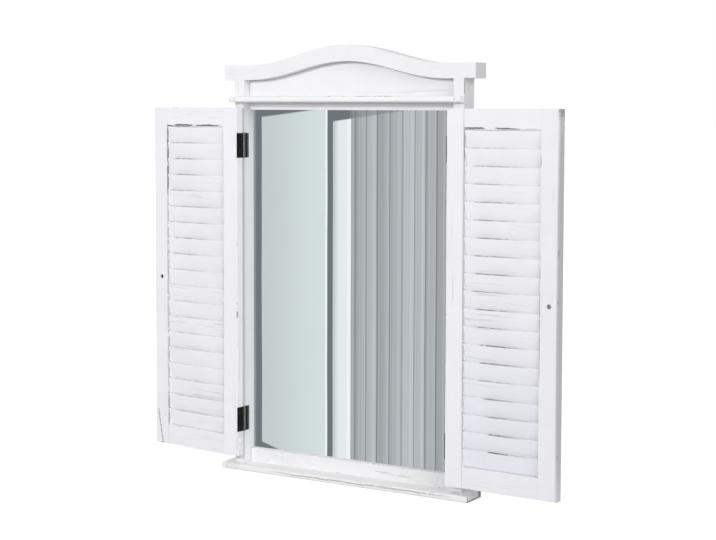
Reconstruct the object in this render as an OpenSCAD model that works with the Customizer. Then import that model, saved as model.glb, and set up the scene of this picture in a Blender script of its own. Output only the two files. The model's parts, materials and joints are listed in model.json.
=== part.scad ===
// Wall mirror in a window-style frame, with two louvred shutters that fold right back.
// X runs along the wall, Y goes into the wall (the wall plane is Y = 0) and Z is up.
// The origin is the middle of the sill's lower back edge, on the wall plane.

/* [Frame] */
// Distance between the inner faces of the two frame stiles
opening_w = 392; // [300:1:500]
// Height of the mirror that shows between the two rails
sight_h = 572.5; // [450:0.5:700]
// Width of a frame stile, seen from the front
stile_w = 19; // [16:0.5:26]
// Depth of the frame, from the wall to the front of the stiles
frame_d = 34; // [32:0.5:45]
// Height of the bottom rail
bottom_rail_h = 23; // [18:0.5:35]
// Height of the top rail
top_rail_h = 22.5; // [18:0.5:35]
// Height of the header between the ledge and the ends of the cornice
header_h = 27; // [15:0.5:50]
// Thickness of the header panel
header_t = 10; // [6:0.5:12]
// How far a rail's tenon goes into the stile
tenon_l = 10; // [6:0.5:12]
// Thickness of a rail's tenon
tenon_t = 6; // [4:0.5:8]
// Depth of the shoulders above and below a tenon
tenon_shoulder = 3; // [2:0.5:5]

/* [Cornice] */
// Height of the cornice at its ends
cornice_h = 24; // [16:0.5:35]
// Extra height of the cornice at its crown
crown_extra = 2; // [0:0.5:6]
// Rise of the arch under the cornice
arch_rise = 29; // [10:0.5:45]
// Level stretch between each end of the arch and the stile beside it
arch_margin = 13; // [0:0.5:60]
// How far the cornice stands out past the stiles, at each end
cornice_over = 20; // [8:0.5:35]

/* [Sill and ledge] */
// Thickness of the sill board
sill_t = 10; // [8:0.5:18]
// Depth of the sill board, from the wall
sill_d = 50; // [44:0.5:80]
// How far the sill stands out past the stiles, at each end
sill_over = 17; // [5:0.5:35]
// Radius of the sill's front edges
sill_r = 2.5; // [1:0.1:3.5]
// Thickness of the ledge under the header
ledge_t = 10; // [8:0.5:16]
// How far the ledge stands out in front of the stiles
ledge_out = 15.5; // [8:0.5:25]
// Radius of the ledge's nose
ledge_r = 3.5; // [1:0.1:3.8]

/* [Mirror] */
// Thickness of the mirror glass
glass_t = 3; // [2:0.5:5]
// Thickness of the backing board
backing_t = 2.2; // [1.8:0.2:3.6]
// How far the backing board lies in front of the wall plane
backing_inset = 1.6; // [1.4:0.1:3]
// How far the glass reaches behind the frame, on each side
rebate_w = 6; // [4:0.5:7]
// Play between the glass and the rebate
glass_play = 0.3; // [0.1:0.05:0.8]

/* [Shutters] */
// Thickness of a shutter
shutter_t = 15.6; // [13:0.2:18]
// How far a closed shutter laps over the bottom rail
lap_bottom = 9.3; // [2:0.1:14]
// How far a closed shutter laps over the top rail
lap_top = 3; // [1:0.1:8]
// Gap between the two closed shutters
meeting_gap = 2.8; // [1.6:0.2:5]
// Gap between a closed shutter and the rails behind it
stop_gap = 0.4; // [0.3:0.05:1]
// Width of a shutter's stiles
shutter_stile_w = 31; // [24:0.5:40]
// Height of a shutter's top rail
shutter_top_h = 31; // [22:0.5:45]
// Height of a shutter's bottom rail
shutter_bottom_h = 33; // [22:0.5:45]

/* [Slats] */
// Number of slats in a shutter
slat_count = 19; // [12:1:24]
// Thickness of a slat
slat_t = 4; // [3:0.1:5]
// Gap between the faces of two slats
slat_gap = 1.9; // [1:0.1:3]
// How far a slat hides the one above it
slat_overlap = 3.2; // [1:0.2:5]
// How far the slats' front edges stay behind the shutter's face
slat_inset = 0.6; // [0.3:0.1:2]
// Gap between the end slats and the rails
slat_end_gap = 0.3; // [0.2:0.1:3]
// How far a slat's end is housed in the stile
slat_house = 4; // [2:0.5:8]
// Play of a slat in its housing
slat_play = 0.1; // [0.05:0.05:0.3]

/* [Hinges] */
// Length of a hinge
hinge_l = 41; // [32:1:60]
// Width of a hinge leaf on the frame, from the pin's axis to its edge
frame_leaf_w = 13.8; // [12.5:0.1:15]
// How far the edge of a hinge leaf on a shutter lies behind the shutter's face
leaf_edge_in = 0.1; // [0:0.05:2]
// Thickness of a hinge leaf
leaf_t = 1; // [0.8:0.1:1.2]
// Gap between the two leaves of a closed hinge
leaf_play = 0.4; // [0.3:0.1:0.8]
// Radius of a knuckle
knuckle_r = 1.8; // [1.6:0.05:1.9]
// Number of knuckles in a hinge
knuckle_count = 5; // [3:2:7]
// Gap between two neighbouring knuckles
knuckle_play = 0.3; // [0.2:0.05:0.5]
// Gap between a knuckle and the wood beside it
knuckle_clear = 0.35; // [0.3:0.05:0.8]
// Radius of the hinge pin
pin_r = 0.9; // [0.7:0.05:1]
// Radial play of the hinge pin in its knuckles
pin_play = 0.05; // [0.02:0.01:0.1]
// Distance from a shutter's end to the middle of the hinge
hinge_inset = 62.2; // [40:0.1:120]

/* [Knobs] */
// Diameter of a knob
knob_d = 18; // [12:0.5:24]
// How far a knob stands out from the shutter
knob_h = 12; // [8:0.5:12.5]
// Distance from the shutter's free edge to the middle of the knob
knob_edge = 15.5; // [12:0.5:20]
// Diameter of the recess for the knob's screw
knob_recess_d = 7.4; // [6.6:0.1:9]
// Depth of the recess for the knob's screw
knob_recess_h = 2.6; // [1.8:0.1:4]

/* [Hangers] */
// Width of a hanger plate
hanger_w = 14; // [12.6:0.1:15]
// Height of a hanger plate
hanger_h = 36; // [34:0.5:38]
// Thickness of a hanger plate
hanger_t = 1.5; // [1:0.1:2]
// Radius of the round hole in a hanger plate
hanger_hole_r = 4.5; // [3.5:0.1:5]
// Width of the slot above the round hole
hanger_slot_w = 4.6; // [3:0.1:5]
// Distance from the round hole up to the slot's top centre
hanger_drop = 10; // [8:0.5:11]
// Distance from the top of the stile down to the round hole
hanger_down = 24.5; // [24:0.5:26]
// Depth of the pocket for the wall screw's head, behind the plate
hanger_pocket = 8; // [5:0.5:12]

/* [Screws and nails] */
// Radius of a hinge screw's shank
screw_r = 1.3; // [1:0.05:1.5]
// Radius of a hinge screw's head
screw_head_r = 2.4; // [2:0.05:2.7]
// Length of a hinge screw
screw_l = 13; // [8:0.5:15]
// Length of a hanger plate's screw
hanger_screw_l = 8; // [5:0.5:8]
// Radius of a sill screw's shank
sill_screw_r = 1.75; // [1.5:0.05:2.2]
// Radius of a sill screw's head
sill_screw_head_r = 3.5; // [2.8:0.1:4]
// Length of a sill screw
sill_screw_l = 28; // [22:0.5:34]
// Radius of a nail's shank
nail_r = 0.8; // [0.6:0.05:1]
// Radius of a nail's head
nail_head_r = 1.3; // [1.2:0.05:1.8]
// Length of a cornice nail
cornice_nail_l = 42; // [36:0.5:46]
// Length of a ledge nail
ledge_nail_l = 30; // [24:0.5:34]
// Radius of a brad that holds the backing board
brad_r = 0.5; // [0.4:0.05:0.6]
// Length of a brad
brad_l = 16; // [12:0.5:18]
// Radial play of a fastener in its hole
hole_play = 0.05; // [0.03:0.01:0.1]

/* [Pose] */
// Opening angle of the left shutter
left_open_angle = 187.4; // [90:0.1:188]
// Opening angle of the right shutter
right_open_angle = 177.3; // [90:0.1:188]

/* [Finish] */
// Radius of the eased edges
ease = 0.8; // [0.3:0.1:1]
// Radius of the eased edges where two boards meet flush
seam = 0.25; // [0.1:0.05:0.5]

/* [Hidden] */

// Fineness of round surfaces, of eased corners and of the arch
round_fn = 48;
ease_steps = 3;
arch_steps = 64;
// Overshoot of a cutting shape past the face that it cuts
past = 1;
// Play of a tenon in its mortise
tenon_play = 0.1;
// Gap between the header panel and what holds it
panel_play = 0.1;
// Wood left between a tenon and the faces of its rail
tenon_wall = 1.5;
// Step from a knuckle's clearance to the leaf beside it
leaf_set_back = 0.5;
// Rim and thickness of the heads on a hinge pin
pin_rim = 0.45;
pin_head_l = 0.6;
// Sizes of the knob's screw that aren't set by the knob or the shutter
knob_screw_r = 1.9;
knob_screw_head_l = 1.7;
head_clear = 0.4;
// Length of a nail's point, and depth of its head
tip_l = 2;
nail_head_l = 1;
// Distance from the end of a hanger plate to its screw
hanger_screw_edge = 3.2;
// Room round the wall screw's head
pocket_play = 0.6;
// Shares: a hinge screw's place along the leaf, a shutter tenon's length and thickness
hinge_screw_share = 0.3;
shutter_tenon_l_share = 0.45;
shutter_tenon_t_share = 0.4;
// Shares of the knob: its screw's bore, its neck, the neck's flare and the rim's roundness
knob_bore_share = 0.6;
knob_neck_share = 0.3;
knob_flare = 1.15;
knob_rim_share = 0.35;
// Shares of a screw head: the cross recess and its arms, the flat of a pin's or a screw's domed head
cross_share = 1.1;
cross_arm_share = 0.25;
dome_flat_share = 0.7;
// Opening angle at which a shutter lies flat along the wall, as it is drawn
drawn_open = 180;
// Depth of the first cornice nail behind the frame's front, the step to the next, and their stagger
cornice_nail_in = 6;
cornice_nail_step = 8;
cornice_nail_stagger = 6;

// Frame levels and faces
half_w = opening_w / 2;
arch_w = opening_w - 2 * arch_margin;
outer_w = half_w + stile_w;
stile_mid = half_w + stile_w / 2;
sight_z0 = sill_t + bottom_rail_h;
sight_z1 = sight_z0 + sight_h;
header_z0 = sight_z1 + top_rail_h;
stile_z1 = header_z0 + header_h;
cornice_z1 = stile_z1 + cornice_h;
rail_y = -frame_d + shutter_t + stop_gap;
backing_y = -backing_inset;
glass_y = backing_y - backing_t;
glass_front = glass_y - glass_t;

// A rail's tenon sits in the wood in front of the glass
tenon_y1 = glass_front - tenon_wall;
tenon_y0 = max(tenon_y1 - tenon_t, rail_y + tenon_wall);

// Hinge line, seen from above: the axis is in the middle of the gap and in front of the stile
hinge_gap = 2 * leaf_t + leaf_play;
axis_in = hinge_gap / 2;
axis_out = sqrt(pow(knuckle_r + knuckle_clear, 2) - pow(axis_in, 2));
axis_x = half_w - axis_in;
axis_y = -frame_d - axis_out;
leaf_start = axis_out + leaf_set_back;
frame_screw_y = (leaf_start + frame_leaf_w) / 2;
screw_dz = hinge_l * hinge_screw_share;
bore_r = pin_r + pin_play;
knuckle_l = (hinge_l - (knuckle_count - 1) * knuckle_play) / knuckle_count;
pin_head_r = pin_r + pin_rim;

// Shutter, in its own frame: the hinge axis is the origin and the shutter lies open along +X
shutter_w = half_w - hinge_gap - meeting_gap / 2;
shutter_x0 = axis_in;
shutter_x1 = axis_in + shutter_w;
shutter_y1 = -axis_out;
shutter_y0 = shutter_y1 - shutter_t;
shutter_leaf_w = -shutter_y0 - leaf_edge_in;
shutter_screw_y = (leaf_start + shutter_leaf_w) / 2;
shutter_z0 = sight_z0 - lap_bottom;
shutter_z1 = sight_z1 + lap_top;
louvre_x0 = shutter_x0 + shutter_stile_w;
louvre_x1 = shutter_x1 - shutter_stile_w;
louvre_z0 = shutter_z0 + shutter_bottom_h;
louvre_z1 = shutter_z1 - shutter_top_h;
hinge_zs = [shutter_z1 - hinge_inset, shutter_z0 + hinge_inset];
knob_x = shutter_x1 - knob_edge;
knob_z = (shutter_z0 + shutter_z1) / 2;
knob_screw_head_r = knob_recess_d / 2 - head_clear;
knob_bore_l = knob_h * knob_bore_share;

// Slats: they fill the opening's height, and lean as far as their thickness and gap ask
slat_pitch = (louvre_z1 - louvre_z0 - 2 * slat_end_gap - slat_overlap) / slat_count;
slat_rise = slat_pitch + slat_overlap;
slat_tilt = asin((slat_t + slat_gap) / slat_pitch);
slat_w = (slat_rise - slat_t * sin(slat_tilt)) / cos(slat_tilt);
slat_depth = slat_w * sin(slat_tilt) + slat_t * cos(slat_tilt);
slat_z0 = louvre_z0 + slat_end_gap + slat_rise / 2;
slat_y = shutter_y0 + slat_inset + slat_depth / 2;

// Shutter tenons lie in the middle of the thickness
shutter_mid_y = (shutter_y0 + shutter_y1) / 2;
shutter_tenon_l = shutter_stile_w * shutter_tenon_l_share;
shutter_tenon_t = shutter_t * shutter_tenon_t_share;

// Fasteners
brad_y = backing_y + brad_r;
brad_zs = [for (i = [1:3]) sight_z0 + i * sight_h / 4];
brad_xs = [-opening_w / 4, opening_w / 4];
hanger_z = stile_z1 - hanger_down;
hanger_z0 = hanger_z - (hanger_h - hanger_drop) / 2;
hanger_screw_dz = hanger_h / 2 - hanger_screw_edge;
hanger_mid = hanger_z0 + hanger_h / 2;
ledge_z = header_z0 - ledge_t / 2;
cornice_nail_y = [for (i = [0, 1]) -frame_d + cornice_nail_in + i * cornice_nail_step];
stile_screw_y = (rail_y - frame_d) / 2;
rail_screw_y = (rail_y + glass_front) / 2;
sill_screw_spots = [
    [-stile_mid, stile_screw_y],
    [-opening_w / 4, rail_screw_y],
    [opening_w / 4, rail_screw_y],
    [stile_mid, stile_screw_y]
];

// ---- outlines ----

// Points of a quarter circle about [x, y], or the corner itself where the radius is 0
function corner(x, y, r, turn) =
    r == 0 ? [[x, y]] : [for (i = [0:ease_steps])
        [x, y] + r * [cos(turn + 90 * i / ease_steps), sin(turn + 90 * i / ease_steps)]];

// Rectangle with eased corners: r lists the lower left, lower right, upper right and upper left
function eased(x0, y0, x1, y1, r) = concat(
    corner(x0 + r[0], y0 + r[0], r[0], 180),
    corner(x1 - r[1], y0 + r[1], r[1], 270),
    corner(x1 - r[2], y1 - r[2], r[2], 0),
    corner(x0 + r[3], y1 - r[3], r[3], 90)
);

// Height of the arch above its springing, at a distance x from the middle
function arch(x, rise) = abs(x) >= arch_w / 2 ? 0 : rise * (1 + cos(360 * x / arch_w)) / 2;

// Places along X at which the arch is drawn, within a half width
function arch_xs(half) = let (span = min(arch_w, 2 * half)) concat(
    span < 2 * half ? [-half] : [],
    [for (i = [0:arch_steps]) (i / arch_steps - 0.5) * span],
    span < 2 * half ? [half] : []
);

// ---- plain shapes ----

// Box between two corners
module box(lo, hi) {
    translate(lo)
        cube(hi - lo);
}

// Bar along Z, with an eased section in X and Y
module bar_z(lo, hi, r) {
    translate([0, 0, lo[2]])
        linear_extrude(hi[2] - lo[2])
            polygon(eased(lo[0], lo[1], hi[0], hi[1], r));
}

// Bar along X, with an eased section in Y and Z
module bar_x(lo, hi, r) {
    translate([lo[0], 0, 0])
        rotate([90, 0, 90])
            linear_extrude(hi[0] - lo[0])
                polygon(eased(lo[1], lo[2], hi[1], hi[2], r));
}

// Bar along X whose ends are eased too
module board(lo, hi, r, end_r) {
    intersection() {
        bar_x(lo, hi, r);
        bar_z(lo, hi, [end_r, end_r, end_r, end_r]);
    }
}

// Upright outline in X and Z, carried back from y0 to y1
module upright(points, y0, y1) {
    translate([0, y1, 0])
        rotate([90, 0, 0])
            linear_extrude(y1 - y0)
                polygon(points);
}

// Cylinder from a point along X, Y or Z
module rod_x(from, r, l) {
    translate(from)
        rotate([0, 90, 0])
            cylinder(h = l, r = r, $fn = round_fn);
}

module rod_y(from, r, l) {
    translate(from)
        rotate([-90, 0, 0])
            cylinder(h = l, r = r, $fn = round_fn);
}

// Cross recess in a screw's head, from z0 to z1
module cross_recess(head_r, z0, z1) {
    arm = head_r * cross_share / 2;
    half_arm_w = arm * cross_arm_share;
    box([-arm, -half_arm_w, z0], [arm, half_arm_w, z1]);
    box([-half_arm_w, -arm, z0], [half_arm_w, arm, z1]);
}

// Flat-headed screw along +Z from its head's flat, with a cross recess
module flat_screw(r, head_r, l) {
    difference() {
        rotate_extrude($fn = round_fn)
            polygon([[0, 0], [head_r, 0], [r, head_r - r], [r, l - 2 * r], [0, l]]);
        cross_recess(head_r, -past, r / 3);
    }
}

// Hole for a flat-headed screw
module flat_screw_hole(r, head_r, l) {
    rotate_extrude($fn = round_fn)
        polygon([[0, -past], [head_r + hole_play, -past], [head_r + hole_play, 0],
            [r + hole_play, head_r - r], [r + hole_play, l + hole_play], [0, l + hole_play]]);
}

// Nail along +Z from its head's flat
module nail(l) {
    rotate_extrude($fn = round_fn)
        polygon([[0, 0], [nail_head_r, 0], [nail_head_r, nail_head_l], [nail_r, nail_head_l],
            [nail_r, l - tip_l], [0, l]]);
}

module nail_hole(l) {
    rotate_extrude($fn = round_fn)
        polygon([[0, -past], [nail_head_r + hole_play, -past],
            [nail_head_r + hole_play, nail_head_l], [nail_r + hole_play, nail_head_l],
            [nail_r + hole_play, l + hole_play], [0, l + hole_play]]);
}

// ---- frame ----

// Space behind the frame's lips that the glass and its backing board lie in
module glass_pocket() {
    box([-half_w - rebate_w - glass_play, glass_front, sight_z0 - rebate_w - glass_play],
        [half_w + rebate_w + glass_play, past, sight_z1 + rebate_w + glass_play]);
}

// Tenons of a rail between z0 and z1, at both ends
module rail_tenons(z0, z1, play) {
    reach = half_w + tenon_l + play;
    box([-reach, tenon_y0 - play, z0 + tenon_shoulder - play],
        [reach, tenon_y1 + play, z1 - tenon_shoulder + play]);
}

// The bottom rail's tenon stays below the glass and the top rail's tenon above it
module bottom_tenons(play) {
    rail_tenons(sill_t, sight_z0, play);
}

module top_tenons(play) {
    rail_tenons(sight_z1, header_z0, play);
}

// The nails that hold the cornice go down into each stile
module each_cornice_nail() {
    for (side = [-1, 1])
        for (i = [0, 1])
            translate([side * (stile_mid + (i - 0.5) * cornice_nail_stagger), cornice_nail_y[i], cornice_z1])
                rotate([180, 0, 0])
                    children();
}

module each_ledge_nail() {
    for (side = [-1, 1])
        translate([side * stile_mid, -frame_d - ledge_out, ledge_z])
            rotate([-90, 0, 0])
                children();
}

module each_sill_screw() {
    for (spot = sill_screw_spots)
        translate([spot[0], spot[1], 0])
            children();
}

module each_hanger_screw() {
    for (side = [-1, 1])
        for (up = [-1, 1])
            translate([side * stile_mid, 0, hanger_mid + up * hanger_screw_dz])
                rotate([90, 0, 0])
                    children();
}

// Brads go sideways into the stiles and up and down into the rails, behind the backing board
module each_brad(r, extra) {
    for (z = brad_zs)
        for (side = [-1, 1])
            rod_x([side * (half_w + rebate_w) - brad_l / 2 - extra, brad_y, z], r, brad_l + 2 * extra);
    for (x = brad_xs)
        for (z = [sight_z0 - rebate_w, sight_z1 + rebate_w])
            translate([x, brad_y, z - brad_l / 2 - extra])
                cylinder(h = brad_l + 2 * extra, r = r, $fn = round_fn);
}

module frame_screw_places(side) {
    for (z = hinge_zs)
        for (up = [-1, 1])
            translate([side * (half_w - leaf_t), axis_y + frame_screw_y, z + up * screw_dz])
                rotate([0, side * 90, 0])
                    children();
}

// Outline of a hanger plate's keyhole: a round hole with a slot above it
module keyhole(y0, y1) {
    rod_y([0, y0, hanger_z], hanger_hole_r, y1 - y0);
    rod_y([0, y0, hanger_z + hanger_drop], hanger_slot_w / 2, y1 - y0);
    box([-hanger_slot_w / 2, y0, hanger_z], [hanger_slot_w / 2, y1, hanger_z + hanger_drop]);
}

// Room behind a hanger plate for the head of the wall screw
module head_pocket() {
    wide = hanger_hole_r + pocket_play;
    deep = hanger_t + hanger_pocket;
    for (z = [hanger_z, hanger_z + hanger_drop])
        rod_y([0, -deep, z], wide, deep + past);
    box([-wide, -deep, hanger_z], [wide, past, hanger_z + hanger_drop]);
}

module frame_stile(side) {
    difference() {
        translate([side * stile_mid, 0, 0])
            bar_z([-stile_w / 2, -frame_d, sill_t], [stile_w / 2, 0, stile_z1],
                [ease, ease, seam, seam]);
        glass_pocket();
        bottom_tenons(tenon_play);
        top_tenons(tenon_play);
        translate([side * stile_mid, 0, 0]) {
            head_pocket();
            box([-hanger_w / 2 - hole_play, -hanger_t, hanger_z0 - hole_play],
                [hanger_w / 2 + hole_play, past, hanger_z0 + hanger_h + hole_play]);
        }
        each_hanger_screw()
            flat_screw_hole(screw_r, screw_head_r, hanger_screw_l);
        each_brad(brad_r + hole_play, hole_play);
        each_cornice_nail()
            nail_hole(cornice_nail_l);
        each_ledge_nail()
            nail_hole(ledge_nail_l);
        each_sill_screw()
            flat_screw_hole(sill_screw_r, sill_screw_head_r, sill_screw_l);
        frame_screw_places(side)
            flat_screw_hole(screw_r, screw_head_r, screw_l);
    }
}

module left_stile() {
    color("whitesmoke")
        frame_stile(-1);
}

module right_stile() {
    color("whitesmoke")
        frame_stile(1);
}

module frame_rail(z0, z1) {
    bar_x([-half_w, rail_y, z0], [half_w, 0, z1], [seam, 0, 0, seam]);
}

module top_rail() {
    color("whitesmoke")
        difference() {
            union() {
                frame_rail(sight_z1, header_z0);
                top_tenons(0);
            }
            glass_pocket();
            each_brad(brad_r + hole_play, hole_play);
        }
}

module bottom_rail() {
    color("whitesmoke")
        difference() {
            union() {
                frame_rail(sill_t, sight_z0);
                bottom_tenons(0);
            }
            glass_pocket();
            each_brad(brad_r + hole_play, hole_play);
            each_sill_screw()
                flat_screw_hole(sill_screw_r, sill_screw_head_r, sill_screw_l);
        }
}

module header_panel() {
    side = half_w - panel_play;
    points = concat(
        [[side, header_z0], [-side, header_z0]],
        [for (x = arch_xs(side)) [x, stile_z1 - panel_play + arch(x, arch_rise)]]
    );
    color("whitesmoke")
        upright(points, rail_y, rail_y + header_t);
}

module arched_cornice() {
    side = outer_w + cornice_over;
    xs = arch_xs(side);
    lower = [for (x = xs) [x, stile_z1 + arch(x, arch_rise)]];
    upper = [for (x = xs) [-x, cornice_z1 + arch(x, arch_rise + crown_extra)]];
    color("whitesmoke")
        difference() {
            upright(concat(lower, upper), -frame_d, 0);
            each_cornice_nail()
                nail_hole(cornice_nail_l);
        }
}

module ledge_moulding() {
    front = -frame_d - ledge_out;
    z0 = header_z0 - ledge_t;
    color("whitesmoke")
        difference() {
            union() {
                board([-outer_w, front, z0], [outer_w, -frame_d, header_z0],
                    [ledge_r, seam, seam, ledge_r], ease);
                box([-half_w + panel_play, -frame_d - ledge_r, z0],
                    [half_w - panel_play, rail_y, header_z0]);
            }
            each_ledge_nail()
                nail_hole(ledge_nail_l);
        }
}

module sill_board() {
    side = outer_w + sill_over;
    color("whitesmoke")
        difference() {
            board([-side, -sill_d, 0], [side, 0, sill_t], [sill_r, 0, 0, sill_r], ease);
            each_sill_screw()
                flat_screw_hole(sill_screw_r, sill_screw_head_r, sill_screw_l);
        }
}

module mirror_glass() {
    side = half_w + rebate_w;
    color("lightsteelblue")
        box([-side, glass_front, sight_z0 - rebate_w], [side, glass_y, sight_z1 + rebate_w]);
}

module backing_board() {
    side = half_w + rebate_w;
    color("saddlebrown")
        box([-side, glass_y, sight_z0 - rebate_w], [side, backing_y, sight_z1 + rebate_w]);
}

module backing_brads() {
    color("silver")
        each_brad(brad_r, 0);
}

module hanger_plate(side) {
    color("silver")
        difference() {
            translate([side * stile_mid, 0, 0])
                difference() {
                    box([-hanger_w / 2, -hanger_t, hanger_z0], [hanger_w / 2, 0, hanger_z0 + hanger_h]);
                    keyhole(-hanger_t - past, past);
                }
            each_hanger_screw()
                flat_screw_hole(screw_r, screw_head_r, hanger_screw_l);
        }
}

module left_hanger_plate() {
    hanger_plate(-1);
}

module right_hanger_plate() {
    hanger_plate(1);
}

module hanger_screws() {
    color("silver")
        each_hanger_screw()
            flat_screw(screw_r, screw_head_r, hanger_screw_l);
}

module ledge_nails() {
    color("dimgray")
        each_ledge_nail()
            nail(ledge_nail_l);
}

module sill_screws() {
    color("silver")
        each_sill_screw()
            flat_screw(sill_screw_r, sill_screw_head_r, sill_screw_l);
}

module cornice_nails() {
    color("dimgray")
        each_cornice_nail()
            nail(cornice_nail_l);
}

// ---- hinges ----

// Height of the lower end of knuckle i above the hinge's lower end
function knuckle_z(i) = i * (knuckle_l + knuckle_play);

// Leaf of the right-hand hinge in the open position, with its flat against X = axis_in.
// It reaches along -Y by wide, with its screws at screw_y, and first is 0 or 1: its lowest knuckle.
module leaf(first, wide, screw_y) {
    difference() {
        union() {
            box([axis_in - leaf_t, -wide, 0], [axis_in, -leaf_start, hinge_l]);
            for (i = [first:2:knuckle_count - 1])
                translate([0, 0, knuckle_z(i)]) {
                    cylinder(h = knuckle_l, r = knuckle_r, $fn = round_fn);
                    box([axis_in - leaf_t, -leaf_start - past, 0], [axis_in, 0, knuckle_l]);
                }
        }
        translate([0, 0, -past])
            cylinder(h = hinge_l + 2 * past, r = bore_r, $fn = round_fn);
        leaf_screw_places(screw_y)
            flat_screw_hole(screw_r, screw_head_r, screw_l);
    }
}

// Places of a leaf's two screws, whose heads lie in the leaf's free face
module leaf_screw_places(screw_y) {
    for (up = [-1, 1])
        translate([axis_in - leaf_t, -screw_y, hinge_l / 2 + up * screw_dz])
            rotate([0, 90, 0])
                children();
}

// Puts a hinge part on the right or left hinge line, at one of the two heights
module at_frame_hinge(side, z) {
    mirror([side < 0 ? 1 : 0, 0, 0])
        translate([axis_x, axis_y, z - hinge_l / 2])
            children();
}

module frame_leaf(side, z) {
    color("dimgray")
        at_frame_hinge(side, z)
            mirror([0, 1, 0])
                leaf(0, frame_leaf_w, frame_screw_y);
}

module hinge_pin(side, z) {
    shank = hinge_l + 2 * pin_play;
    flat_r = pin_head_r * dome_flat_share;
    color("gray")
        at_frame_hinge(side, z)
            translate([0, 0, -pin_play])
                rotate_extrude($fn = round_fn)
                    polygon([[0, -pin_head_l], [flat_r, -pin_head_l], [pin_head_r, 0], [pin_r, 0],
                        [pin_r, shank], [pin_head_r, shank], [flat_r, shank + pin_head_l],
                        [0, shank + pin_head_l]]);
}

module left_upper_frame_leaf() {
    frame_leaf(-1, hinge_zs[0]);
}

module left_lower_frame_leaf() {
    frame_leaf(-1, hinge_zs[1]);
}

module right_upper_frame_leaf() {
    frame_leaf(1, hinge_zs[0]);
}

module right_lower_frame_leaf() {
    frame_leaf(1, hinge_zs[1]);
}

module left_upper_hinge_pin() {
    hinge_pin(-1, hinge_zs[0]);
}

module left_lower_hinge_pin() {
    hinge_pin(-1, hinge_zs[1]);
}

module right_upper_hinge_pin() {
    hinge_pin(1, hinge_zs[0]);
}

module right_lower_hinge_pin() {
    hinge_pin(1, hinge_zs[1]);
}

module frame_hinge_screws() {
    color("dimgray")
        for (side = [-1, 1])
            frame_screw_places(side)
                flat_screw(screw_r, screw_head_r, screw_l);
}

// ---- shutters ----

// Puts a shutter's piece on its hinge line and swings it to its opening angle
module at_shutter(side) {
    turn = (side < 0 ? left_open_angle : right_open_angle) - drawn_open;
    mirror([side < 0 ? 1 : 0, 0, 0])
        translate([axis_x, axis_y, 0])
            rotate([0, 0, turn])
                children();
}

module shutter_leaf(side, z) {
    color("dimgray")
        at_shutter(side)
            translate([0, 0, z - hinge_l / 2])
                leaf(1, shutter_leaf_w, shutter_screw_y);
}

module left_upper_shutter_leaf() {
    shutter_leaf(-1, hinge_zs[0]);
}

module left_lower_shutter_leaf() {
    shutter_leaf(-1, hinge_zs[1]);
}

module right_upper_shutter_leaf() {
    shutter_leaf(1, hinge_zs[0]);
}

module right_lower_shutter_leaf() {
    shutter_leaf(1, hinge_zs[1]);
}

module shutter_screw_places() {
    for (z = hinge_zs)
        translate([0, 0, z - hinge_l / 2])
            leaf_screw_places(shutter_screw_y)
                children();
}

module shutter_hinge_screws(side) {
    color("dimgray")
        at_shutter(side)
            shutter_screw_places()
                flat_screw(screw_r, screw_head_r, screw_l);
}

module left_shutter_hinge_screws() {
    shutter_hinge_screws(-1);
}

module right_shutter_hinge_screws() {
    shutter_hinge_screws(1);
}

// One row of slats, whose ends reach past the louvre opening by house, with play all round
module slat_row(house, play) {
    for (i = [0:slat_count - 1])
        translate([louvre_x0 - house, slat_y, slat_z0 + i * slat_pitch])
            rotate([slat_tilt, 0, 0])
                bar_x([0, -slat_t / 2 - play, -slat_w / 2 - play],
                    [louvre_x1 - louvre_x0 + 2 * house, slat_t / 2 + play, slat_w / 2 + play],
                    [1, 1, 1, 1] * (ease + play));
}

// Tenons of a shutter's rail between z0 and z1
module shutter_tenons(z0, z1, play) {
    reach = shutter_tenon_l + play;
    box([louvre_x0 - reach, shutter_mid_y - shutter_tenon_t / 2 - play, z0 + tenon_shoulder - play],
        [louvre_x1 + reach, shutter_mid_y + shutter_tenon_t / 2 + play, z1 - tenon_shoulder + play]);
}

module shutter_sockets() {
    slat_row(slat_house + slat_play, slat_play);
    shutter_tenons(shutter_z0, louvre_z0, tenon_play);
    shutter_tenons(louvre_z1, shutter_z1, tenon_play);
}

module hinge_stile(side) {
    color("whitesmoke")
        at_shutter(side)
            difference() {
                bar_z([shutter_x0, shutter_y0, shutter_z0], [louvre_x0, shutter_y1, shutter_z1],
                    [ease, seam, seam, ease]);
                shutter_sockets();
                shutter_screw_places()
                    flat_screw_hole(screw_r, screw_head_r, screw_l);
            }
}

module left_hinge_stile() {
    hinge_stile(-1);
}

module right_hinge_stile() {
    hinge_stile(1);
}

// Passage for the knob's screw, with the recess for its head in the inner face
module knob_screw_hole() {
    rod_y([knob_x, shutter_y0 - past, knob_z], knob_recess_d / 2, knob_recess_h + past);
    rod_y([knob_x, shutter_y0 - past, knob_z], knob_screw_r + hole_play, shutter_t + 2 * past);
}

module meeting_stile(side) {
    color("whitesmoke")
        at_shutter(side)
            difference() {
                bar_z([louvre_x1, shutter_y0, shutter_z0], [shutter_x1, shutter_y1, shutter_z1],
                    [seam, ease, ease, seam]);
                shutter_sockets();
                knob_screw_hole();
            }
}

module left_meeting_stile() {
    meeting_stile(-1);
}

module right_meeting_stile() {
    meeting_stile(1);
}

module shutter_rail(side, z0, z1) {
    color("whitesmoke")
        at_shutter(side)
            union() {
                bar_x([louvre_x0, shutter_y0, z0], [louvre_x1, shutter_y1, z1], [ease, ease, ease, ease]);
                shutter_tenons(z0, z1, 0);
            }
}

module left_shutter_top_rail() {
    shutter_rail(-1, louvre_z1, shutter_z1);
}

module right_shutter_top_rail() {
    shutter_rail(1, louvre_z1, shutter_z1);
}

module left_shutter_bottom_rail() {
    shutter_rail(-1, shutter_z0, louvre_z0);
}

module right_shutter_bottom_rail() {
    shutter_rail(1, shutter_z0, louvre_z0);
}

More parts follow.
